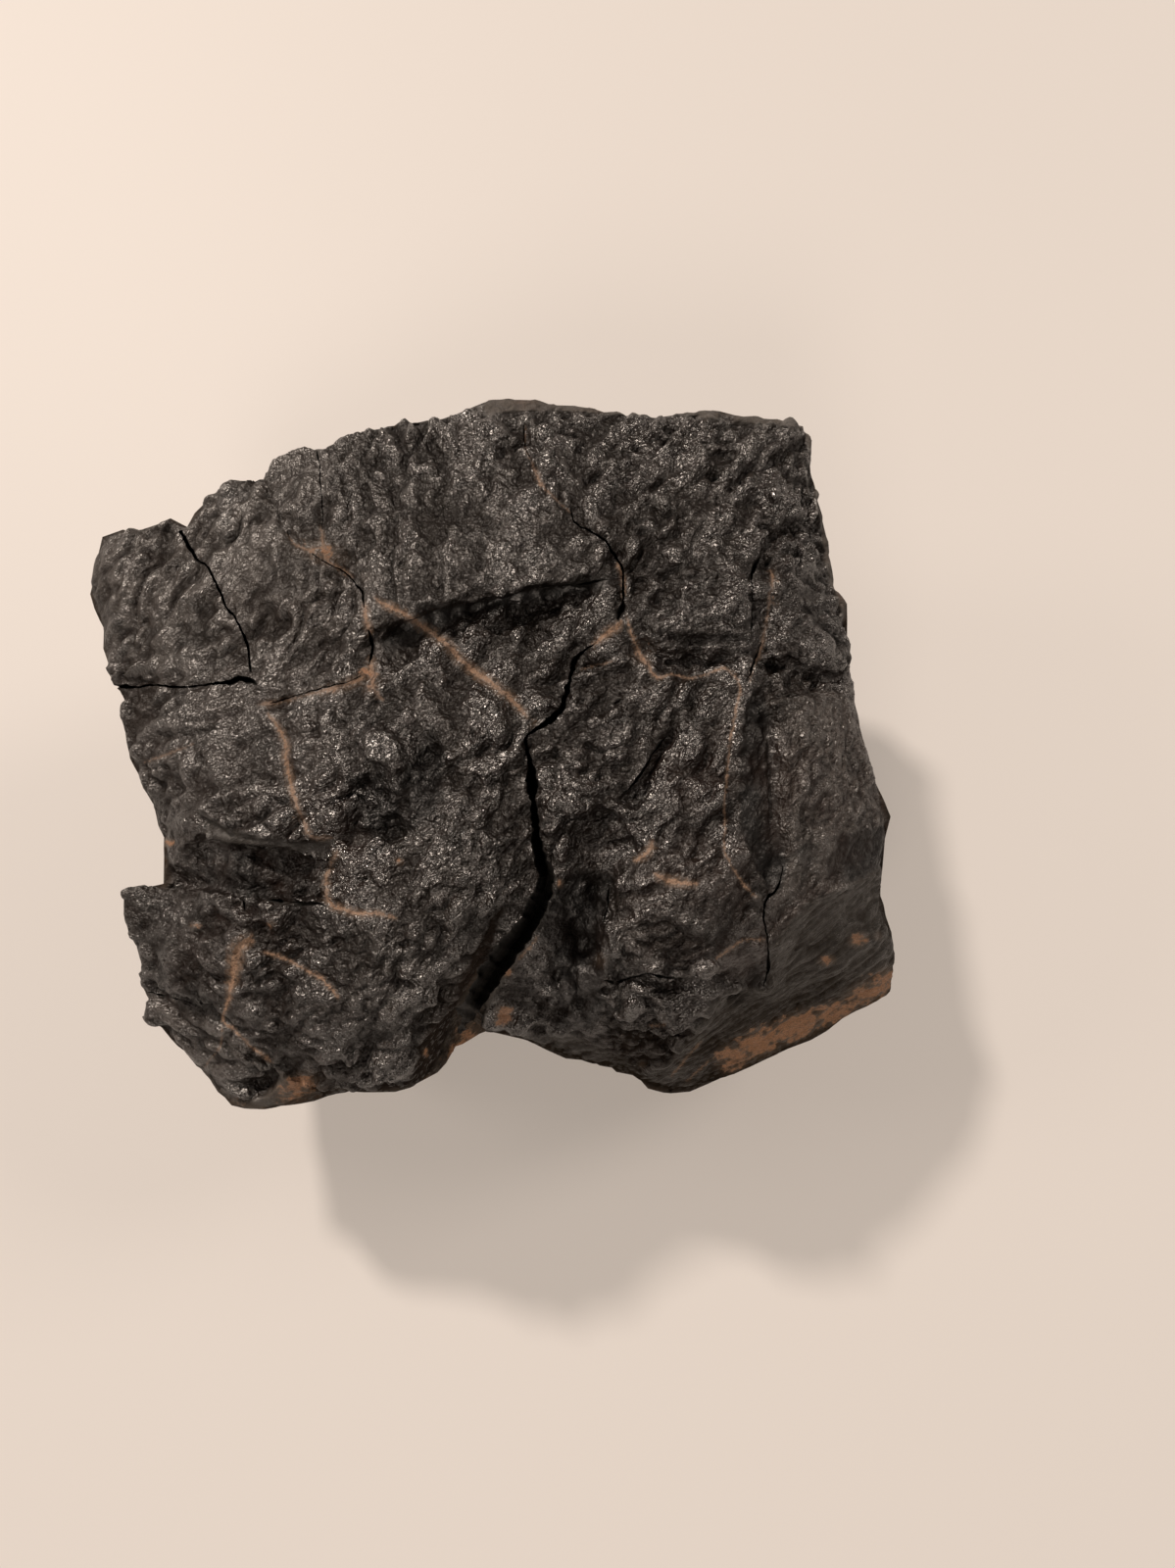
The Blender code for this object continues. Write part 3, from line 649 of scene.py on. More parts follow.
def brokenRelief(points):
    # Broken rock: flat facets with steps between them, chips and a little grit.
    wall = wallRelief
    bent = bentPlaces(points, wall, (21, 22, 23))
    facets = noiseAt(bent, wall["facetSize"], 24, 2)
    chips = noiseAt(bent, wall["chipSize"], 25, 1, (1.0, 1.0, wall["chipLength"]))
    steps = np.round(facets * wall["facetSteps"]) / wall["facetSteps"]
    stepped = steps * wall["stepped"] + facets * (1 - wall["stepped"])
    deep = 1 + wall["deeper"] * eased(
        (wall["deepFrom"] - points[:, 2]) / (wall["deepFrom"] - wall["deepTo"]))
    chipped = wall["chips"] * (wall["chipLevel"] - np.abs(chips))
    return (deep * (wall["facets"] * stepped + chipped)
            + wall["grit"] * noiseAt(points, wall["gritSize"], 26))


# Where the face is seen from above, and where it turns over its rim into a side wall: the
# tilt at which each begins, and how wide the change is.

turning = dict(seenFrom=-0.02, seenBy=0.2, calm=0.35, calmFrom=0.2, calmBy=0.35,
               sideFrom=0.66, sideBy=0.35)


def addRelief(mesh):
    points, normals = pointsOf(mesh), normalsOf(mesh)
    pixels = pixelsOf(points)
    toEye = eyePlace - points
    toEye /= np.linalg.norm(toEye, axis=1)[:, None]
    facing = np.einsum("ij,ij->i", normals, toEye)
    seen = eased((facing - turning["seenFrom"]) / turning["seenBy"])
    relief = creaseRelief(pixels)
    for seed, ledge in enumerate(ledges.values()):
        relief += ledgeRelief(pixels, ledge, seed)
    for seed, (stops, depth, width) in enumerate(grooves.values()):
        relief += grooveRelief(pixels, stops, depth, width, 60 + seed)
    for crack in cracks.values():
        relief += grooveRelief(pixels, crack["line"], **crackGroove)
    for vein in veins.values():
        relief += grooveRelief(pixels, vein["line"], **veinGroove)
    for hump in humps.values():
        relief += humpRelief(pixels, hump)
    for slope in ramps.values():
        relief += rampRelief(pixels, slope)
    points += (seen * relief)[:, None] * normals
    setPoints(mesh, points)
    say("ledges and humps")
    look = crustLook(pixels)
    calm = turning["calm"]
    calmRim = calm + (1 - calm) * eased((facing - turning["calmFrom"]) / turning["calmBy"])
    crust = crustRelief(points, look) * calmRim
    broken = brokenRelief(points)
    shown = seen * (1 - look["broken"])
    setPoints(mesh, points + (crust * shown + broken * (1 - shown))[:, None] * normalsOf(mesh))
    say("crust and broken relief")
    tree = KDTree(len(points))
    for i, point in enumerate(pointsOf(mesh)):
        tree.insert(point, i)
    tree.balance()
    waves = crustWaves
    side = eased((turning["sideFrom"] - normals[:, 2]) / turning["sideBy"])
    # Raised is low in the creases and hollows of the crust. Less shine there paints shade in them,
    # partly also dirt. Less shine in the dark zones is painted shade in the zones named shade.
    raised = eased(0.5 + crust / waves["highToLow"])
    shine = (waves["lowShine"] + waves["shine"] * raised) * (1 + waves["sideShine"] * side)
    shine *= ((waves["plainShine"] + waves["glossShine"] * look["gloss"])
              * (1 + waves["darkShine"] * look["dark"]))
    return seen, np.column_stack((raised, shine, side)), tree


def smoothFaces(mesh):
    # Smooth shading, but a sharp edge where a crack's wall meets the face.
    mesh.polygons.foreach_set("use_smooth", np.ones(len(mesh.polygons), bool))
    walls = np.empty(len(mesh.polygons), np.int32)
    mesh.polygons.foreach_get("material_index", walls)
    loops = np.empty(len(mesh.loops), np.int32)
    mesh.loops.foreach_get("edge_index", loops)
    counts = np.empty(len(mesh.polygons), np.int32)
    mesh.polygons.foreach_get("loop_total", counts)
    byLoop = np.repeat(walls, counts)
    onWall = np.zeros(len(mesh.edges), bool)
    onFace = np.zeros(len(mesh.edges), bool)
    onWall[loops[byLoop == 1]] = True
    onFace[loops[byLoop == 0]] = True
    sharp = mesh.attributes.new("sharp_edge", "BOOLEAN", "EDGE")
    sharp.data.foreach_set("value", onWall & onFace)


def insideBox(mesh, give):
    # Keeps the stone in the part's box, gently within so many mm of a side.
    low, high = (np.array(corner) / mm for corner in cadBox)
    points = pointsOf(mesh)
    over = np.maximum(points - (high - give), 0)
    under = np.maximum((low + give) - points, 0)
    under[:, 2] = 0
    points += give * (np.tanh(over / give) - np.tanh(under / give)) - over + under
    setPoints(mesh, np.clip(points, low, high))


# Fewer triangles where the stone is seen least, and no point outside the part's box: it gives
# way softly before thinning, and what the thinning moved out is put back after it, in mm.

stoneTriangles = 174000
leastSeen = 0.01
boxGive = dict(first=1.2, last=0.01)


def thinned(mesh, seen):
    holder = bpy.data.objects.new("thinned", mesh)
    bpy.context.scene.collection.objects.link(holder)
    group = holder.vertex_groups.new(name="keep")
    for i in np.nonzero(seen > leastSeen)[0]:
        group.add([int(i)], float(seen[i]), "REPLACE")
    modifier = holder.modifiers.new("decimate", "DECIMATE")
    modifier.vertex_group = "keep"
    modifier.invert_vertex_group = True
    modifier.ratio = stoneTriangles / (2 * len(mesh.polygons))
    made = bpy.data.meshes.new_from_object(
        holder.evaluated_get(bpy.context.evaluated_depsgraph_get()))
    bpy.data.objects.remove(holder)
    return made


# Cracks: each stop of a line is u, v and the gap between the lips, all in pixels. The cracks
# of one round are cut together, so they mustn't touch each other.

cracks = {
    "mainUpper": dict(turn=0, depth=9.0, line=[
        (582, 518, 1.2), (585, 530, 2.6), (592, 537, 2.2), (600, 541, 3), (611, 547, 2.2),
        (621, 556, 3.2), (629, 569, 4), (635, 581, 2.5), (636, 592, 3), (635, 603, 3.5),
        (636, 612, 2.2), (635, 619, 7), (633, 626, 8), (631, 633, 3)]),
    "mainLower": dict(turn=0, depth=22.0, openEnd=True, line=[
        (609, 655, 1.6), (600, 661, 3), (591, 668, 4.5), (585, 680, 6), (582, 690, 4.5),
        (580, 700, 5.5), (577, 711, 7.5), (572, 724, 7), (562, 734, 9.5), (554, 740, 6),
        (545, 746, 4), (537, 751, 3.4), (537, 760, 3.6), (540, 771, 4.5), (541, 780, 6),
        (542, 789, 13), (543, 797, 15), (543, 805, 13), (544, 812, 8), (544, 820, 6.5),
        (545, 830, 8.5), (547, 845, 9.5), (549, 860, 11), (552, 876, 14), (558, 892, 18),
        (556, 906, 19), (550, 921, 20), (538, 945, 22), (518, 970, 26), (498, 998, 27),
        (482, 1028, 30), (474, 1056, 40)]),
    "cornerCrack": dict(turn=0, depth=11.0, line=[
        (184, 541, 5), (186, 546, 7), (190, 553, 5.5), (200, 569, 4), (210, 577, 2.2),
        (217, 588, 2.6), (224, 603, 2.6), (232, 621, 2.2), (239, 630, 3.4), (245, 640, 2.6),
        (250, 652, 3.2), (254, 668, 3.2), (256, 686, 2.4)]),
    "cornerBaseCrack": dict(turn=1, depth=11.0, line=[
        (116, 702, 5), (124, 701, 4), (139, 701, 2.6), (162, 699, 2.4), (189, 701, 2.6),
        (215, 698, 3), (232, 696, 4.5), (246, 693, 7), (256, 694, 7.5), (262, 699, 3)]),
    "backCrack": dict(turn=0, depth=6.0, line=[
        (323, 460, 2), (324, 466, 2.6), (326, 476, 1.8), (327, 492, 1.5), (329, 520, 1.4),
        (329, 540, 1.0)]),
    "kneeCrack": dict(turn=0, depth=8.0, line=[
        (318, 565, 1.0), (334, 575, 1.6), (345, 580, 2), (354, 586, 2.8), (362, 595, 3.2),
        (369, 604, 3.8), (371, 614, 2.2), (372, 620, 1.2)]),
    "kneeCrackFoot": dict(turn=0, depth=8.0, line=[
        (376, 643, 1.4), (378, 650, 3.4), (380, 660, 4.2), (379, 670, 3.6), (376, 679, 1.4)]),
    "sideCrack": dict(turn=0, depth=5.0, line=[
        (275, 718, 1.0), (295, 712, 1.6), (314, 706, 1.4), (334, 701, 1.5), (354, 696, 1.2),
        (368, 690, 1.0)]),
    "backThinCrack": dict(turn=0, depth=4.0, line=[
        (535, 430, 1.0), (535, 440, 1.4), (536, 457, 1.4), (543, 471, 1.2), (548, 484, 1.0)]),
    "rightCrack": dict(turn=0, depth=6.0, line=[
        (780, 560, 1.5), (774, 570, 4.5), (769, 580, 5.5), (767, 592, 3.4), (768, 610, 1.8),
        (767, 636, 1.6), (766, 656, 1.2)]),
    "rightPit": dict(turn=1, depth=5.0, line=[
        (787, 568, 2), (781, 577, 7), (777, 586, 2)]),
    "rightFoot": dict(turn=1, depth=5.0, line=[
        (778, 652, 1.4), (772, 668, 4), (766, 684, 3), (762, 694, 1.2)]),
    "forkCrack": dict(turn=0, depth=6.0, line=[
        (799, 884, 1.2), (797, 897, 2), (791, 909, 3.2), (782, 917, 3.4), (780, 928, 2.6),
        (779, 938, 2.6), (783, 956, 1.6), (784, 972, 2.2), (784, 984, 5), (782, 996, 3.4),
        (779, 1007, 1.4)]),
    "notchCrack": dict(turn=0, depth=6.0, line=[
        (247, 914, 2), (249, 921, 4), (250, 929, 1.6)]),
    "footCrack": dict(turn=0, depth=4.0, line=[
        (615, 1000, 1.5), (628, 1002, 4.5), (643, 998, 4.5), (661, 994, 3), (682, 998, 3),
        (700, 998, 3.4), (711, 995, 1.6)]),
    "fragmentCrack": dict(turn=0, depth=4.0, line=[
        (150, 1012, 2.5), (165, 1015, 1.4), (189, 1022, 1.4), (205, 1028, 1.0)]),
    "panelCrack": dict(turn=0, depth=5.0, line=[
        (262, 917, 1.4), (274, 918, 4.5), (290, 920, 6), (306, 921, 5.5), (322, 922, 4),
        (334, 924, 1.4)]),
    "shelfCrack": dict(turn=1, depth=3.0, line=[
        (396, 650, 1.4), (408, 643, 4), (422, 634, 4.5), (438, 628, 3), (452, 625, 1.4)]),
    "shelfEnd": dict(turn=1, depth=3.0, line=[
        (574, 600, 1.4), (588, 597, 4.5), (602, 594, 4.5), (616, 592, 2), (622, 592, 1)]),
    "gougeCrack": dict(turn=0, depth=4.0, line=[
        (634, 812, 1.4), (646, 800, 3), (656, 786, 4), (663, 774, 3.4), (672, 761, 4.5),
        (681, 750, 2.4), (688, 742, 1.2)]),
    "patchCrack": dict(turn=0, depth=4.0, line=[
        (628, 893, 2.2), (622, 905, 3.4), (620, 920, 2.8), (618, 934, 2.2), (612, 946, 1.4)]),
}

# The cut follows the line with small bends and chipped walls, and narrows with depth. All
# across the line is in pixels and all along the line of sight in mm.

crackCut = dict(
    step=2.2, bend=0.9, bendSize=6.0, beside=4,
    ragged=0.30, raggedPixels=0.35, widest=8,
    chips=((0.7, 0.62, 9.1), (1.0, 0.23, 4.7)),  # how strong, how quick along the line, seed
    above=2.6, aboveWide=1.05, narrowest=0.2,
    rows=((0.0, 1.0), (0.12, 0.86), (0.45, 0.62), (1.0, 0.14)),  # share of depth, of width
    taper=26.0, endDepth=0.2,
)
tooFar = 285  # mm from the eye, where a line of sight has missed the face


def distanceTo(tree, pixel):
    hit = tree.ray_cast(Vector(eyePlace) * mm, Vector(rayThrough(pixel)))
    return None if hit[0] is None else hit[3] / mm


def crackRing(pixel, way, half, chips, near, far):
    # The outline of the cut at one place: down the left wall and back up the right one.
    across = np.array((-way[1], way[0]))
    rows = [(near - crackCut["above"], crackCut["aboveWide"], 1.0)]
    rows += [(near + (far - near) * share, wide, 1 - share) for share, wide in crackCut["rows"]]
    ring = []
    for side, chip, wall in ((-1, chips[0], rows), (1, chips[1], rows[::-1])):
        for reach, wide, rough in wall:
            aside = max(crackCut["narrowest"], half * wide + chip * rough)
            ring.append(eyePlace + rayThrough(pixel + across * side * aside) * reach)
    return ring


def crackCutter(bm, tree, crack, seed):
    line = curveThrough(crack["line"], crackCut["step"])
    line = wandering(line, crackCut["bend"], crackCut["bendSize"], seed)
    ways = np.gradient(line[:, :2], axis=0)
    ways /= np.linalg.norm(ways, axis=1)[:, None]
    reaches = []
    for stop, way in zip(line, ways):
        across = np.array((-way[1], way[0])) * (stop[2] / 2 + crackCut["beside"])
        found = [distanceTo(tree, stop[:2] + across * k) for k in (-1, 1)]
        found = [reach for reach in found if reach is not None and reach < tooFar]
        reaches.append(min(found) if found else None)
    known = [i for i, reach in enumerate(reaches) if reach is not None]
    reaches = np.interp(range(len(reaches)), known, [reaches[i] for i in known])
    rings = []
    for i, (stop, way) in enumerate(zip(line, ways)):
        rough = crackCut["ragged"] * min(stop[2], crackCut["widest"]) + crackCut["raggedPixels"]
        chips = [rough * sum(strong * noise.noise(Vector((i * quick, shift * seed, wall)))
                             for strong, quick, shift in crackCut["chips"]) for wall in (0.3, 5.3)]
        fromEnd = i if crack.get("openEnd") else min(i, len(line) - 1 - i)
        fromEnd *= crackCut["step"]
        full = eased(fromEnd / crackCut["taper"])
        deep = crack["depth"] * (crackCut["endDepth"] + (1 - crackCut["endDepth"]) * full)
        ring = crackRing(stop[:2], way, stop[2] / 2, chips, reaches[i], reaches[i] + deep)
        rings.append([bm.verts.new(Vector(point) * mm) for point in ring])
    for before, after in zip(rings, rings[1:]):
        for k in range(len(before)):
            j = (k + 1) % len(before)
            bm.faces.new((before[k], before[j], after[j], after[k]))
    bm.faces.new(rings[0][::-1])
    bm.faces.new(rings[-1])


def cutCracks(mesh):
    for turn in (0, 1):
        stoneForm = bmesh.new()
        stoneForm.from_mesh(mesh)
        tree = BVHTree.FromBMesh(stoneForm)
        stoneForm.free()
        bm = bmesh.new()
        for seed, crack in enumerate(cracks.values()):
            if crack["turn"] == turn:
                crackCutter(bm, tree, crack, seed)
        bmesh.ops.triangulate(bm, faces=bm.faces)
        bmesh.ops.recalc_face_normals(bm, faces=bm.faces)
        cutterMesh = bpy.data.meshes.new("crackCutter")
        bm.to_mesh(cutterMesh)
        bm.free()
        cutterMesh.materials.append(crackWallMaterial())
        cutter = bpy.data.objects.new("crackCutter", cutterMesh)
        bpy.context.scene.collection.objects.link(cutter)
        mesh = shaped(mesh, "cracked", ("BOOLEAN", dict(
            operation="DIFFERENCE", object=cutter, solver="MANIFOLD", material_mode="TRANSFER")))
        bpy.data.objects.remove(cutter)
    return mesh


# Clay veins and hairlines on the face. Each stop is u, v, half the width in pixels and how
# strongly it shows. Lines that come close to each other are kept in different sets.

veins = {
    "slantVein": dict(kind=0, line=[
        (380, 608, 1.5, 0.5), (393, 617, 2.6, 0.9), (414, 627, 3.0, 1), (435, 642, 3.0, 1),
        (456, 658, 3.0, 1), (477, 680, 3.4, 1), (507, 701, 3.2, 1), (528, 720, 2.8, 0.9),
        (541, 735, 2.0, 0.5)]),
    "longVein": dict(kind=0, line=[
        (271, 726, 1.5, 0.5), (283, 741, 2.2, 0.8), (291, 757, 2.6, 0.9), (292, 776, 2.6, 0.9),
        (296, 794, 2.6, 0.9), (302, 819, 2.4, 0.9), (311, 841, 2.2, 0.8), (317, 853, 2.0, 0.8),
        (342, 856, 1.4, 0.5)]),
    "hookVein": dict(kind=1, line=[
        (345, 866, 2.0, 0.8), (337, 884, 2.0, 0.8), (333, 904, 2.4, 0.9), (336, 921, 2.6, 1),
        (350, 928, 2.6, 1), (371, 932, 2.4, 1), (386, 932, 2.0, 0.9), (406, 938, 1.4, 0.6)]),
    "cornerVein": dict(kind=0, line=[
        (262, 961, 2.4, 1.1), (252, 960, 3.6, 1.5), (244, 967, 4.4, 1.6), (240, 978, 4.4, 1.6),
        (238, 992, 3.6, 1.6), (236, 1008, 2.6, 1.3), (231, 1028, 1.6, 0.9), (227, 1040, 1.3, 0.9),
        (242, 1054, 1.3, 0.9), (258, 1069, 1.5, 0.9), (280, 1085, 1.5, 0.9)]),
    "cornerBranch": dict(kind=1, line=[
        (226, 1046, 0.9, 0.4), (226, 1066, 0.9, 0.45), (217, 1078, 0.9, 0.4),
        (207, 1090, 0.8, 0.3)]),
    "lowVein": dict(kind=1, line=[
        (267, 971, 1.2, 0.8), (280, 974, 1.6, 0.95), (296, 981, 1.2, 0.65), (311, 989, 1.6, 0.9),
        (327, 998, 1.8, 1.0), (337, 1008, 1.8, 0.95), (347, 1020, 1.2, 0.5)]),
    "kneeClay": dict(kind=0, line=[
        (327, 535, 1.0, 0.2), (329, 548, 2.0, 0.45), (331, 560, 2.6, 0.6), (334, 572, 2.2, 0.6),
        (348, 580, 2.0, 0.5), (362, 590, 1.6, 0.4)]),
    "kneeSide": dict(kind=1, line=[
        (292, 545, 0.8, 0.3), (304, 557, 1.4, 0.5), (318, 563, 2.2, 0.55), (329, 569, 1.8, 0.5)]),
    "kneeClayLow": dict(kind=1, line=[
        (371, 612, 1.6, 0.5), (373, 624, 2.4, 0.85), (375, 638, 2.6, 0.9), (378, 650, 1.8, 0.5)]),
    "footClay": dict(kind=0, line=[
        (378, 668, 2.0, 0.5), (379, 679, 3.2, 0.9), (379, 692, 3.2, 0.9), (383, 706, 2.4, 0.6),
        (392, 716, 1.2, 0.3)]),
    "sideClay": dict(kind=1, line=[
        (308, 711, 1.4, 0.3), (330, 705, 2.4, 0.6), (350, 699, 3.0, 0.8), (366, 693, 3.0, 0.8),
        (374, 689, 2.0, 0.6)]),
    "sideStain": dict(kind=2, line=[
        (262, 718, 1.5, 0.3), (275, 718, 2.4, 0.45), (296, 714, 2.0, 0.4), (312, 710, 1.5, 0.3)]),
    "mainClay": dict(kind=1, line=[
        (636, 632, 2.0, 0.7), (628, 639, 2.8, 1), (619, 646, 3.0, 1), (611, 653, 2.4, 0.9),
        (602, 660, 1.5, 0.5)]),
    "mainClayHigh": dict(kind=2, line=[
        (629, 572, 1.0, 0.4), (633, 580, 2.2, 0.8), (636, 592, 1.8, 0.6), (636, 611, 2.0, 0.8)]),
    "backClay": dict(kind=1, line=[
        (536, 430, 0.7, 0.3), (536, 456, 0.8, 0.3), (543, 472, 1.0, 0.5), (549, 488, 2.0, 0.9),
        (556, 499, 1.4, 0.6), (570, 512, 0.8, 0.4), (583, 524, 0.8, 0.4)]),
    "farVein": dict(kind=0, line=[
        (637, 623, 1.0, 0.65), (643, 641, 1.4, 0.91), (648, 655, 1.8, 1), (654, 668, 2.4, 1.2),
        (661, 679, 2.0, 1), (670, 691, 1.6, 0.91), (688, 689, 1.0, 0.65), (706, 692, 1.0, 0.65),
        (725, 687, 1.0, 0.65), (738, 681, 1.3, 0.78), (751, 690, 1.2, 0.78), (755, 704, 1.2, 0.78),
        (750, 729, 1.2, 0.78), (745, 758, 1.2, 0.78), (742, 790, 1.0, 0.65), (739, 819, 1.0, 0.65),
        (740, 847, 1.0, 0.65), (739, 866, 1.1, 0.78), (748, 886, 1.1, 0.78), (761, 905, 1.1, 0.78),
        (777, 919, 0.9, 0.65)]),
    "rightClay": dict(kind=1, line=[
        (785, 580, 1.6, 0.7), (789, 592, 1.6, 0.7), (785, 610, 1.2, 0.5), (783, 630, 1.2, 0.5),
        (779, 649, 1.6, 0.7), (775, 666, 1.6, 0.7), (768, 683, 1.2, 0.6), (764, 697, 1.0, 0.5)]),
    "dropClay": dict(kind=1, line=[
        (667, 856, 1.6, 0.8), (664, 865, 3.0, 1), (658, 873, 2.8, 1), (646, 879, 1.8, 0.9)]),
    "dashClay": dict(kind=0, line=[
        (667, 891, 1.8, 0.9), (676, 896, 3.0, 1), (689, 900, 3.2, 1), (702, 901, 3.0, 1),
        (714, 901, 1.6, 0.8)]),
    "flakeLine": dict(kind=0, line=[
        (730, 979, 1.0, 0.8), (745, 968, 1.2, 0.9), (758, 960, 1.2, 0.9), (781, 958, 1.0, 0.8)]),
    "squiggle": dict(kind=0, line=[
        (664, 1045, 1.2, 0.5), (672, 1048, 1.4, 0.6), (680, 1044, 1.2, 0.5)]),
    "flowLine1": dict(kind=0, line=[
        (684, 1100, 0.9, 0.35), (700, 1080, 1.0, 0.5), (716, 1062, 0.9, 0.35)]),
    "flowLine2": dict(kind=1, line=[
        (700, 1104, 0.9, 0.4), (720, 1086, 0.9, 0.4), (740, 1072, 0.8, 0.3)]),
    "leftStreak": dict(kind=1, line=[
        (146, 779, 1.0, 0.25), (170, 770, 1.6, 0.35), (198, 759, 1.0, 0.25)]),
    "faintAcross": dict(kind=2, line=[
        (629, 674, 0.9, 0.35), (612, 678, 1.0, 0.4), (591, 684, 0.9, 0.3)]),
    "cleftEdge": dict(kind=0, line=[
        (549, 955, 1.2, 0.6), (541, 967, 1.4, 0.7), (528, 979, 1.2, 0.5)]),
}

# Clay that has stuck in patches: u, v, half width, half height, turn in degrees, strength.

clayPatches = [
    (330, 564, 26, 13, 15, 0.48), (372, 590, 10, 8, 40, 0.25), (378, 695, 12, 18, 0, 0.45),
    (352, 700, 26, 8, -18, 0.4), (407, 879, 4.5, 3.5, 0, 1.0), (171, 860, 6, 4, 0, 0.9),
    (277, 943, 5, 3.5, 0, 0.7), (199, 944, 7, 4, 0, 0.5), (876, 959, 9, 6, -20, 1.0),
    (844, 980, 8, 5, -10, 0.9), (896, 955, 5, 6, 0, 0.5), (514, 1036, 8, 9, 20, 1.0),
    (571, 901, 4, 5, 0, 0.7), (518, 993, 5, 4, -30, 0.9), (302, 1110, 22, 12, -25, 0.8),
    (250, 1127, 26, 7, 10, 0.4), (472, 1078, 13, 30, 15, 1.0), (748, 1080, 16, 14, -25, 0.8),
    (775, 1064, 24, 14, -25, 0.9), (812, 1048, 30, 13, -20, 0.9), (850, 1034, 28, 11, -20, 0.8),
    (884, 1014, 28, 13, -30, 0.8), (905, 1000, 14, 12, -30, 0.8), (655, 1086, 6, 5, 0, 0.4),
    (655, 668, 14, 16, 30, 0.35), (300, 838, 5, 7, 0, 0.3), (434, 1074, 3, 5, 0, 0.7),
    (614, 980, 9, 10, 0, 0.35), (790, 600, 9, 30, 0, 0.3), (545, 740, 8, 6, -40, 0.4),
]


clayFall = 0.7  # how steeply the patches end
lineLetters = "ABC"  # one for each set of lines
veinShape = dict(step=4.0, bend=1.3, bendSize=7.0, reach=18.0, fadeFrom=17.0, fade=5.0, endFade=0.04)


def lineSets(pixels):
    # For each set of lines: signed distance, half width and strength, all but the last in mm.
    shape = veinShape
    sets = [np.zeros((len(pixels), 3)) for _ in lineLetters]
    closest = [np.full(len(pixels), shape["reach"]) for _ in lineLetters]
    for seed, vein in enumerate(veins.values()):
        stops = curveThrough(vein["line"], shape["step"])
        stops = wandering(stops, shape["bend"], shape["bendSize"], 40 + seed)
        side, share = besideLine(pixels, stops, shape["reach"])
        lengths = np.linalg.norm(np.diff(stops[:, :2], axis=0), axis=1)
        places = np.concatenate(((0.0,), np.cumsum(lengths))) / lengths.sum()
        nearer = np.abs(side) < closest[vein["kind"]]
        ends = fadedEnds(share, shape["endFade"], shape["endFade"])
        values = sets[vein["kind"]]
        values[nearer, 0] = side[nearer] * pixelSize
        values[nearer, 1] = np.interp(share[nearer], places, stops[:, 2]) * pixelSize
        values[nearer, 2] = (np.interp(share, places, stops[:, 3]) * ends)[nearer]
        closest[vein["kind"]] = np.minimum(closest[vein["kind"]], np.abs(side))
    for values, gap in zip(sets, closest):
        values[:, 2] *= eased((shape["fadeFrom"] - gap) / shape["fade"])
    return sets


def clayField(pixels):
    field = np.zeros(len(pixels))
    for u, v, halfWide, halfHigh, turn, strength in clayPatches:
        away = ellipseFrom(pixels, u, v, halfWide, halfHigh, turn)
        field = np.maximum(field, strength * np.exp(-clayFall * away))
    return field


def addAttribute(mesh, name, values):
    kind = "FLOAT" if values.ndim == 1 else "FLOAT_VECTOR"
    made = mesh.attributes.new(name, kind, "POINT")
    made.data.foreach_set("value" if kind == "FLOAT" else "vector", values.astype(np.float32).ravel())


# Below what height the stone is soiled, and above what height clay shows, in mm.

soiling = dict(soilFrom=20.0, soilBy=26.0, clayFrom=4.0, clayBy=8.0)


def markSurface(mesh, seen, finishAndShade, tree):
    # What the materials need to know about each point of the stone.
    points = pointsOf(mesh)
    pixels = pixelsOf(points)
    look = crustLook(pixels)
    nearest = [tree.find(point)[1] for point in points]
    top = seen[nearest]
    broken = np.maximum(1 - top, look["broken"])
    low = eased((soiling["soilFrom"] - points[:, 2]) / soiling["soilBy"])
    clay = clayField(pixels) * eased((points[:, 2] - soiling["clayFrom"]) / soiling["clayBy"])
    shares = wayShares(look) * look["waves"][:, None]
    addAttribute(mesh, "grainWays", shares[:, :3])
    addAttribute(mesh, "faceToneAndShade", np.column_stack((shares[:, 3], look["dust"], look["dark"])))
    stripes = look["stripes"] * top
    addAttribute(mesh, "faceLook", np.column_stack((look["gloss"], look["brown"], stripes)))
    addAttribute(mesh, "groundLook", np.column_stack((broken, clay, low * broken)))
    addAttribute(mesh, "finishAndShade", finishAndShade[nearest])
    for letter, values in zip(lineLetters, lineSets(pixels)):
        values[:, 2] *= top
        addAttribute(mesh, "lines" + letter, values)


# Materials.

def addNode(tree, kind, inputs=(), **settings):
    made = tree.nodes.new("ShaderNode" + kind)
    for key, value in settings.items():
        setattr(made, key, value)
    for key, value in dict(inputs).items():
        if isinstance(value, bpy.types.NodeSocket):
            tree.links.new(value, made.inputs[key])
        else:
            made.inputs[key].default_value = value
    return made


def newMaterial(name):
    material = bpy.data.materials.new(name)
    material.use_nodes = True
    tree = material.node_tree
    return material, tree, tree.nodes["Principled BSDF"]


def maths(tree, operation, first, second=0.0, third=0.0):
    return addNode(tree, "Math", {0: first, 1: second, 2: third}, operation=operation).outputs[0]


def times(tree, first, second):
    return maths(tree, "MULTIPLY", first, second)


def larger(tree, first, second):
    return maths(tree, "MAXIMUM", first, second)


def centred(tree, noise, amount):
    # The noise times this amount, moved to lie about 0.
    return maths(tree, "MULTIPLY_ADD", noise, amount, -amount / 2)


def summed(tree, terms):
    # The sum of (value, factor) pairs.
    total = 0.0
    for value, factor in terms:
        total = maths(tree, "MULTIPLY_ADD", value, factor, total)
    return total


def mixed(tree, share, first, second):
    return addNode(tree, "Mix", {0: share, 2: first, 3: second}).outputs[0]


def ramp(tree, value, low, high, start=0.0, end=1.0):
    # From start to end, smoothly, as the value goes from low to high.
    return addNode(tree, "MapRange", {0: value, 1: low, 2: high, 3: start, 4: end},
                   interpolation_type="SMOOTHSTEP").outputs[0]


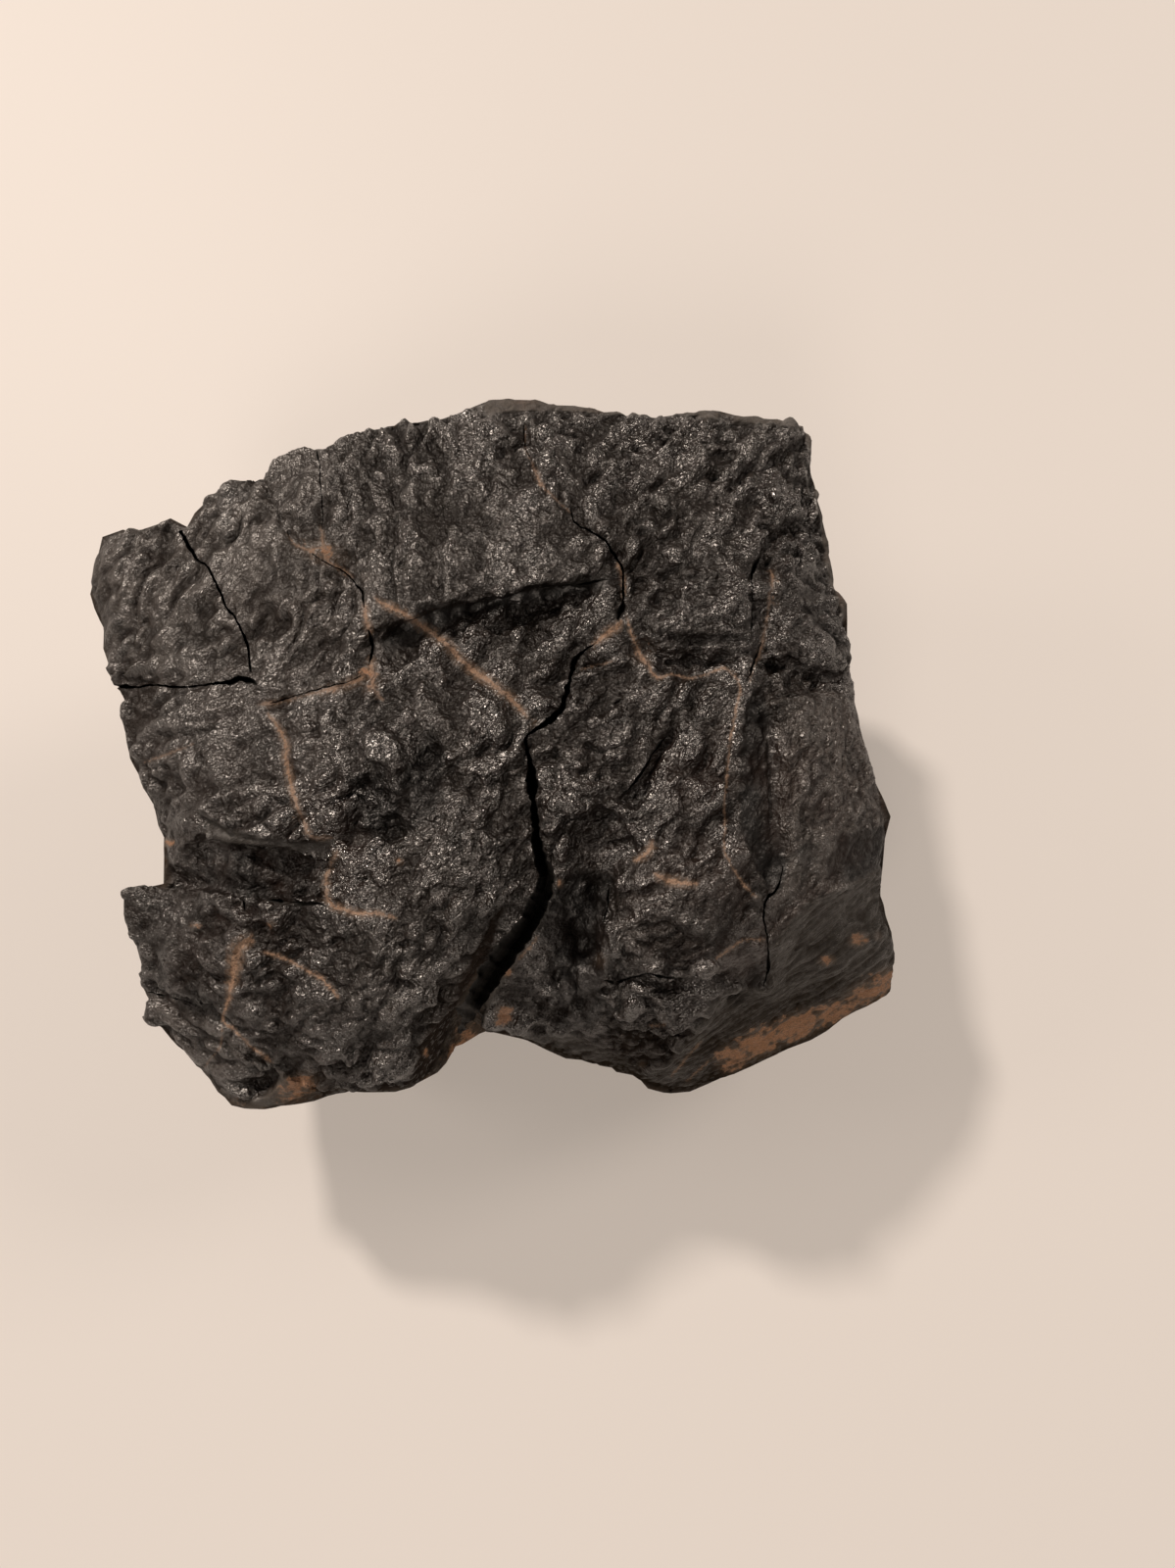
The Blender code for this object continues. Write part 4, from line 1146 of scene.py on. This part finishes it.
def blend(tree, share, first, second):
    made = addNode(tree, "Mix", {0: share}, data_type="RGBA")
    for socket, colour in ((made.inputs[6], first), (made.inputs[7], second)):
        if isinstance(colour, bpy.types.NodeSocket):
            tree.links.new(colour, socket)
        else:
            socket.default_value = (*colour, 1.0)
    return made.outputs[2]


def millimetres(tree):
    place = addNode(tree, "TexCoord").outputs["Object"]
    return addNode(tree, "VectorMath", {0: place, "Scale": 1.0 / mm}, operation="SCALE").outputs[0]


def grainNoise(tree, place, size, detail=0.0, stretch=1.0, turn=0.0, seed=0.0, bend=0.0):
    # Noise about 0 to 1 with grains of this size in mm, drawn out along a direction.
    turned = addNode(tree, "Mapping", {
        "Vector": place, "Location": (seed, 2 * seed, -seed),
        "Rotation": (0.0, 0.0, math.radians(turn)), "Scale": (size * stretch, size, size)},
        vector_type="TEXTURE").outputs[0]
    return addNode(tree, "TexNoise", {
        "Vector": turned, "Scale": 1.0, "Detail": detail, "Roughness": 0.55,
        "Distortion": bend}).outputs[0]


def bumped(tree, shader, height, strength=1.0):
    # height is in mm.
    bump = addNode(tree, "Bump", {"Strength": strength, "Distance": mm, "Height": height})
    tree.links.new(bump.outputs[0], shader.inputs["Normal"])


def attribute(tree, name):
    found = addNode(tree, "Attribute", attribute_name=name, attribute_type="GEOMETRY")
    parts = addNode(tree, "SeparateXYZ", {0: found.outputs["Vector"]})
    return parts.outputs[0], parts.outputs[1], parts.outputs[2]


def lineMask(tree, line, ragged, spread, full, none):
    # 1 on a line, 0 beside it, with a ragged edge.
    gap, width, strength = line
    gap = maths(tree, "ADD", maths(tree, "ABSOLUTE", gap), ragged)
    over = maths(tree, "DIVIDE", gap, times(tree, width, spread))
    return times(tree, ramp(tree, over, none, full), strength)


crust = dict(
    dark=(0.0056, 0.0035, 0.0024),
    grey=(0.0155, 0.0108, 0.0092),
    dust=(0.0370, 0.0300, 0.0252),
    shade=(0.0035, 0.0028, 0.0024),
    brown=(0.0300, 0.0165, 0.0120),
    facet=(0.0340, 0.0270, 0.0200),
    wall=(0.066, 0.056, 0.047),
    wallDark=(0.036, 0.031, 0.027),
    wallRust=(0.070, 0.043, 0.027),
    stain=(0.100, 0.072, 0.052), stainShare=0.8,
    clay=(0.315, 0.207, 0.141),
    clayDark=(0.170, 0.108, 0.073),
    soil=(0.325, 0.176, 0.100), soilShare=0.9,
    sideDust=0.3,
    density=1.75, shine=0.45, creaseShine=-0.12,
    roughness=0.44, gloss=-0.08, grit=0.16, facetRough=0.12, dustRough=0.12, shineRough=-0.30,
    wallRoughness=0.75, clayRoughness=0.92,
)

# Small shapes of the crust that are bump: size of the grains in mm, and for some how many
# times longer than wide they are and which way they lie.

crustWavelet = dict(size=1.0, stretch=2.2, bend=0.5)
crustGrains = dict(
    fine=dict(size=0.26, detail=1.0, seed=5.0),
    mid=dict(size=2.0, detail=1.0, seed=8.0, bend=0.4),
    flow=dict(size=0.34, detail=1.0, stretch=10.0, turn=33.0, seed=2.0, bend=0.3),
    chips=dict(size=1.6, detail=3.0, seed=14.0),
    blotch=dict(size=9.0, detail=3.0, seed=21.0),
    mottle=dict(size=4.0, detail=2.0, seed=27.0),
    edge=dict(size=0.55, detail=2.0, seed=30.0),
    wide=dict(size=2.2, detail=2.0, seed=33.0),
)
crustCells = dict(pebbles=1.15, grains=0.52)
cellWarp = dict(scale=0.45, amount=1.2)
lumpsShare = dict(coarse=0.8, always=0.2)

# Their heights in mm, on the crust, on the tilted facet and on the broken walls.

crustHeights = dict(wave=0.60, fine=0.08, lumps=1.10, pebbles=-0.48, grains=-0.17)
facetHeights = dict(flow=0.35, fine=0.06, chips=0.25)
wallHeights = dict(chips=0.9, mid=0.8, fine=0.10)

# From which value a noise begins to count and by which it counts in full, and for some how
# much it counts at both.

crustSteps = dict(
    creases=(0.25, 0.65), pebbles=(0.3, 0.65, 0.35, 1.0),
    # The grey and the dust fade out towards the creases and hollows, which paints shade there.
    wearAndShadeWave=(0.02, 0.22), wearAndShadeTop=(0.1, 0.7),
    dustMottle=(0.3, 0.6, 0.25, 1.15), dustAndShadeTop=(0.1, 0.6, 0.3, 1.1),
    brown=(0.3, 0.65), wall=(0.15, 0.9), rustBlotch=(0.45, 0.75), rustMottle=(0.3, 0.7),
    core=(0.25, 0.5, 0.4), halo=(0.3, 0.6, 0.5),
    patch=(0.42, 0.72), patchNear=(0.02, 0.2), patchStain=(0.1, 0.7),
    soil=(0.42, 0.75), clayDark=(0.2, 0.7),
)

# Clay along the lines, and how ragged its edges are, in mm.

clayEdge = dict(ragged=1.3, patchWide=1.6, patchRagged=0.25, inCreases=0.35, low=0.75)
clayCore = dict(spread=0.85, full=0.5, none=1.1)
clayHalo = dict(spread=3.0, full=0.1, none=1.0)


def step(tree, name, value):
    return ramp(tree, value, *crustSteps[name])


def crustShapes(tree, shares):
    # Wavelets drawn out along the way the crust flowed, pebbles, grit and larger noises.
    place = millimetres(tree)
    shapes = {name: grainNoise(tree, place, **grain) for name, grain in crustGrains.items()}
    waves = []
    for row, (way, share) in enumerate(zip(crustWaves["ways"], shares)):
        grain = grainNoise(tree, place, turn=way, seed=3.0 + 8.0 * row, **crustWavelet)
        waves.append((maths(tree, "ABSOLUTE", maths(tree, "SUBTRACT", grain, 0.5)), share))
    shapes["wave"] = summed(tree, waves)
    warp = addNode(tree, "TexNoise", {"Vector": place, "Scale": cellWarp["scale"],
                                      "Detail": 1.0}).outputs[1]
    warp = addNode(tree, "VectorMath", {0: warp, "Scale": cellWarp["amount"]},
                   operation="SCALE").outputs[0]
    warped = addNode(tree, "VectorMath", {0: place, 1: warp}, operation="ADD").outputs[0]
    for name, size in crustCells.items():
        cells = addNode(tree, "TexVoronoi", {"Vector": warped, "Scale": 1.0 / size})
        shapes[name] = cells.outputs["Distance"]
    shapes["creases"] = step(tree, "creases", shapes["pebbles"])
    coarse = summed(tree, [(share, 1.0) for share in shares])
    pebbles = times(tree, shapes["pebbles"], step(tree, "pebbles", shapes["mid"]))
    shapes["pebbles"] = times(tree, pebbles, coarse)
    shapes["grains"] = times(tree, shapes["grains"], coarse)
    always = maths(tree, "MULTIPLY_ADD", coarse, lumpsShare["coarse"], lumpsShare["always"])
    shapes["lumps"] = times(tree, shapes["mid"], always)
    return shapes


def heightOf(tree, shapes, heights):
    return summed(tree, [(shapes[name], height) for name, height in heights.items()])


def clayShares(tree, shapes, clayNear, low):
    # How much clay, how much brown stain and how much soil in patches there is.
    ragged = centred(tree, shapes["edge"], clayEdge["ragged"])
    clay = 0.0
    stain = 0.0
    for letter in lineLetters:
        line = attribute(tree, "lines" + letter)
        core = lineMask(tree, line, ragged, **clayCore)
        core = times(tree, core, step(tree, "core", shapes["wide"]))
        halo = lineMask(tree, line, ragged, **clayHalo)
        halo = times(tree, halo, step(tree, "halo", shapes["wide"]))
        inCrease = times(tree, halo, shapes["creases"])
        core = larger(tree, core, times(tree, inCrease, clayEdge["inCreases"]))
        clay = larger(tree, clay, core)
        stain = larger(tree, stain, halo)
    patch = maths(tree, "ADD", clayNear, centred(tree, shapes["wide"], clayEdge["patchWide"]))
    patch = maths(tree, "MULTIPLY_ADD", ragged, clayEdge["patchRagged"], patch)
    patch = times(tree, step(tree, "patch", patch), step(tree, "patchNear", clayNear))
    soil = times(tree, low, step(tree, "soil", maths(tree, "ADD", shapes["blotch"], ragged)))
    clay = larger(tree, larger(tree, clay, patch), times(tree, soil, clayEdge["low"]))
    return clay, larger(tree, stain, step(tree, "patchStain", clayNear)), patch


def crustMaterial():
    material, tree, shader = newMaterial("fusionCrust")
    firstShares = attribute(tree, "grainWays")
    lastShare, dust, shade = attribute(tree, "faceToneAndShade")
    gloss, brown, facet = attribute(tree, "faceLook")
    broken, clayNear, low = attribute(tree, "groundLook")
    raised, shine, side = attribute(tree, "finishAndShade")
    shapes = crustShapes(tree, [*firstShares, lastShare])
    clay, stain, patch = clayShares(tree, shapes, clayNear, low)

    height = mixed(tree, facet, heightOf(tree, shapes, crustHeights),
                   heightOf(tree, shapes, facetHeights))
    bumped(tree, shader, mixed(tree, broken, height, heightOf(tree, shapes, wallHeights)))

    # Black crust: grey on the tops of its folds and wavelets and black in the creases and hollows
    # between, partly wear and partly painted shade in the hollows. Dusty or brown in places, with the
    # dust thinning towards the hollows as painted shade there. Then broken rock and clay.
    wearAndShade = times(tree, step(tree, "wearAndShadeWave", shapes["wave"]), step(tree, "wearAndShadeTop", raised))
    colour = blend(tree, wearAndShade, crust["dark"], crust["grey"])
    dustAndShade = times(tree, dust, step(tree, "dustMottle", shapes["mottle"]))
    dustAndShade = times(tree, dustAndShade, step(tree, "dustAndShadeTop", raised))
    dustAndShade = maths(tree, "MULTIPLY_ADD", side, crust["sideDust"], dustAndShade)
    colour = blend(tree, dustAndShade, colour, crust["dust"])
    # The zones' darkness is laid on in the shade colour. In the zones named shade this is painted
    # shade.
    colour = blend(tree, shade, colour, crust["shade"])
    brown = times(tree, brown, step(tree, "brown", shapes["blotch"]))
    colour = blend(tree, brown, colour, crust["brown"])
    colour = blend(tree, facet, colour, blend(tree, shapes["flow"], crust["dark"], crust["facet"]))
    wall = blend(tree, step(tree, "wall", shapes["chips"]), crust["wallDark"], crust["wall"])
    rust = times(tree, step(tree, "rustBlotch", shapes["blotch"]),
                 step(tree, "rustMottle", shapes["mottle"]))
    colour = blend(tree, broken, colour, blend(tree, rust, wall, crust["wallRust"]))
    colour = blend(tree, times(tree, stain, crust["stainShare"]), colour, crust["stain"])
    clayColour = blend(tree, times(tree, patch, crust["soilShare"]), crust["clay"], crust["soil"])
    clayLight = step(tree, "clayDark", shapes["fine"])
    clayColour = blend(tree, clayLight, crust["clayDark"], clayColour)
    tree.links.new(blend(tree, clay, colour, clayColour), shader.inputs["Base Color"])

    shader.inputs["IOR"].default_value = crust["density"]
    shader.inputs["Specular IOR Level"].default_value = crust["shine"]
    # Less shine still in the creases between the pebbles: painted shade there.
    shine = maths(tree, "MULTIPLY_ADD", shapes["creases"], crust["creaseShine"], shine)
    shine = larger(tree, shine, 0.0)
    tree.links.new(shine, shader.inputs["Specular IOR Level"])
    rough = summed(tree, [
        (gloss, crust["gloss"]), (shapes["fine"], crust["grit"]), (facet, crust["facetRough"]),
        (dust, crust["dustRough"]), (shine, crust["shineRough"])])
    rough = maths(tree, "ADD", rough, crust["roughness"])
    rough = mixed(tree, broken, rough, crust["wallRoughness"])
    rough = mixed(tree, clay, rough, crust["clayRoughness"])
    tree.links.new(rough, shader.inputs["Roughness"])
    return material


# The walls inside the cracks: near black with patches of bare rock. They are darker than the broken
# rock outside, which is painted shade inside the cracks on top of their real shadow.
crackWall = dict(
    dark=(0.008, 0.007, 0.006), rock=(0.030, 0.026, 0.022), rockFrom=0.35, rockBy=0.7,
    roughness=0.85, chips=dict(size=1.3, detail=3.0, seed=41.0), chipHeight=0.6,
)


def crackWallMaterial():
    found = bpy.data.materials.get("crackWall")
    if found:
        return found
    material, tree, shader = newMaterial("crackWall")
    chips = grainNoise(tree, millimetres(tree), **crackWall["chips"])
    bare = ramp(tree, chips, crackWall["rockFrom"], crackWall["rockBy"])
    colour = blend(tree, bare, crackWall["dark"], crackWall["rock"])
    tree.links.new(colour, shader.inputs["Base Color"])
    shader.inputs["Roughness"].default_value = crackWall["roughness"]
    bumped(tree, shader, times(tree, chips, crackWall["chipHeight"]))
    return material


# The floor and the lights.

floorLook = dict(size=4.0, colour=(0.50, 0.491, 0.485), roughness=0.6,
                 glow=(0.27, 0.232, 0.200))  # the floor shines a little, which softens shadows
lamps = {
    "farLamp": dict(way=(-0.395, 0.56, 0.727), distance=2.2, size=0.20, power=34.0),
    "leftLamp": dict(way=(-0.83, 0.08, 0.55), distance=1.4, size=0.40, power=2.9),
    "rightLamp": dict(way=(0.70, 0.35, 0.62), distance=1.6, size=0.50, power=6.2),
    "nearLamp": dict(way=(-0.15, -0.75, 0.64), distance=1.6, size=0.50, power=6.2),
}
lampColour = (1.0, 0.85, 0.73)
skyColour = (1.0, 0.87, 0.76)
skyStrength = 0.14


def makeSurroundings():
    mesh = bpy.data.meshes.new("floor")
    bm = bmesh.new()
    bmesh.ops.create_grid(bm, x_segments=1, y_segments=1, size=floorLook["size"] / 2)
    bm.to_mesh(mesh)
    bm.free()
    floor = bpy.data.objects.new("floor", mesh)
    paint, _, shader = newMaterial("floorPaint")
    shader.inputs["Base Color"].default_value = (*floorLook["colour"], 1.0)
    shader.inputs["Roughness"].default_value = floorLook["roughness"]
    shader.inputs["Emission Color"].default_value = (*floorLook["glow"], 1.0)
    shader.inputs["Emission Strength"].default_value = 1.0
    mesh.materials.append(paint)
    bpy.context.scene.collection.objects.link(floor)
    for name, lamp in lamps.items():
        data = bpy.data.lights.new(name, "AREA")
        data.shape = "DISK"
        data.size = lamp["size"]
        data.energy = lamp["power"]
        data.color = lampColour
        piece = bpy.data.objects.new(name, data)
        way = Vector(lamp["way"]).normalized()
        piece.location = way * lamp["distance"]
        piece.rotation_euler = (-way).to_track_quat("-Z", "Y").to_euler()
        bpy.context.scene.collection.objects.link(piece)
    world = bpy.data.worlds.new("studio")
    world.use_nodes = True
    sky = world.node_tree.nodes["Background"]
    sky.inputs["Color"].default_value = (*skyColour, 1.0)
    sky.inputs["Strength"].default_value = skyStrength
    bpy.context.scene.world = world


bpy.context.scene.view_settings.view_transform = "Standard"
makeCamera()
makeSurroundings()
say("camera and lights")
stoneMesh = makePlainStone()
say(f"plain stone of {len(stoneMesh.vertices)} points")
seen, finishAndShade, tree = addRelief(stoneMesh)
insideBox(stoneMesh, boxGive["first"])
stoneMesh = thinned(stoneMesh, seen)
insideBox(stoneMesh, boxGive["last"])
say(f"stone of {len(stoneMesh.polygons)} faces")
stoneMesh.materials.clear()
stoneMesh.materials.append(crustMaterial())
stoneMesh = cutCracks(stoneMesh)
stoneMesh.name = "meteoriteStone"
say(f"cracked stone of {len(stoneMesh.polygons)} faces")
markSurface(stoneMesh, seen, finishAndShade, tree)
say("surface marked")
stone = bpy.data.objects.new("meteoriteStone", stoneMesh)
bpy.context.scene.collection.objects.link(stone)
smoothFaces(stoneMesh)
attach(stone, "root")
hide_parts("meteorite")

bpy.context.view_layer.update()
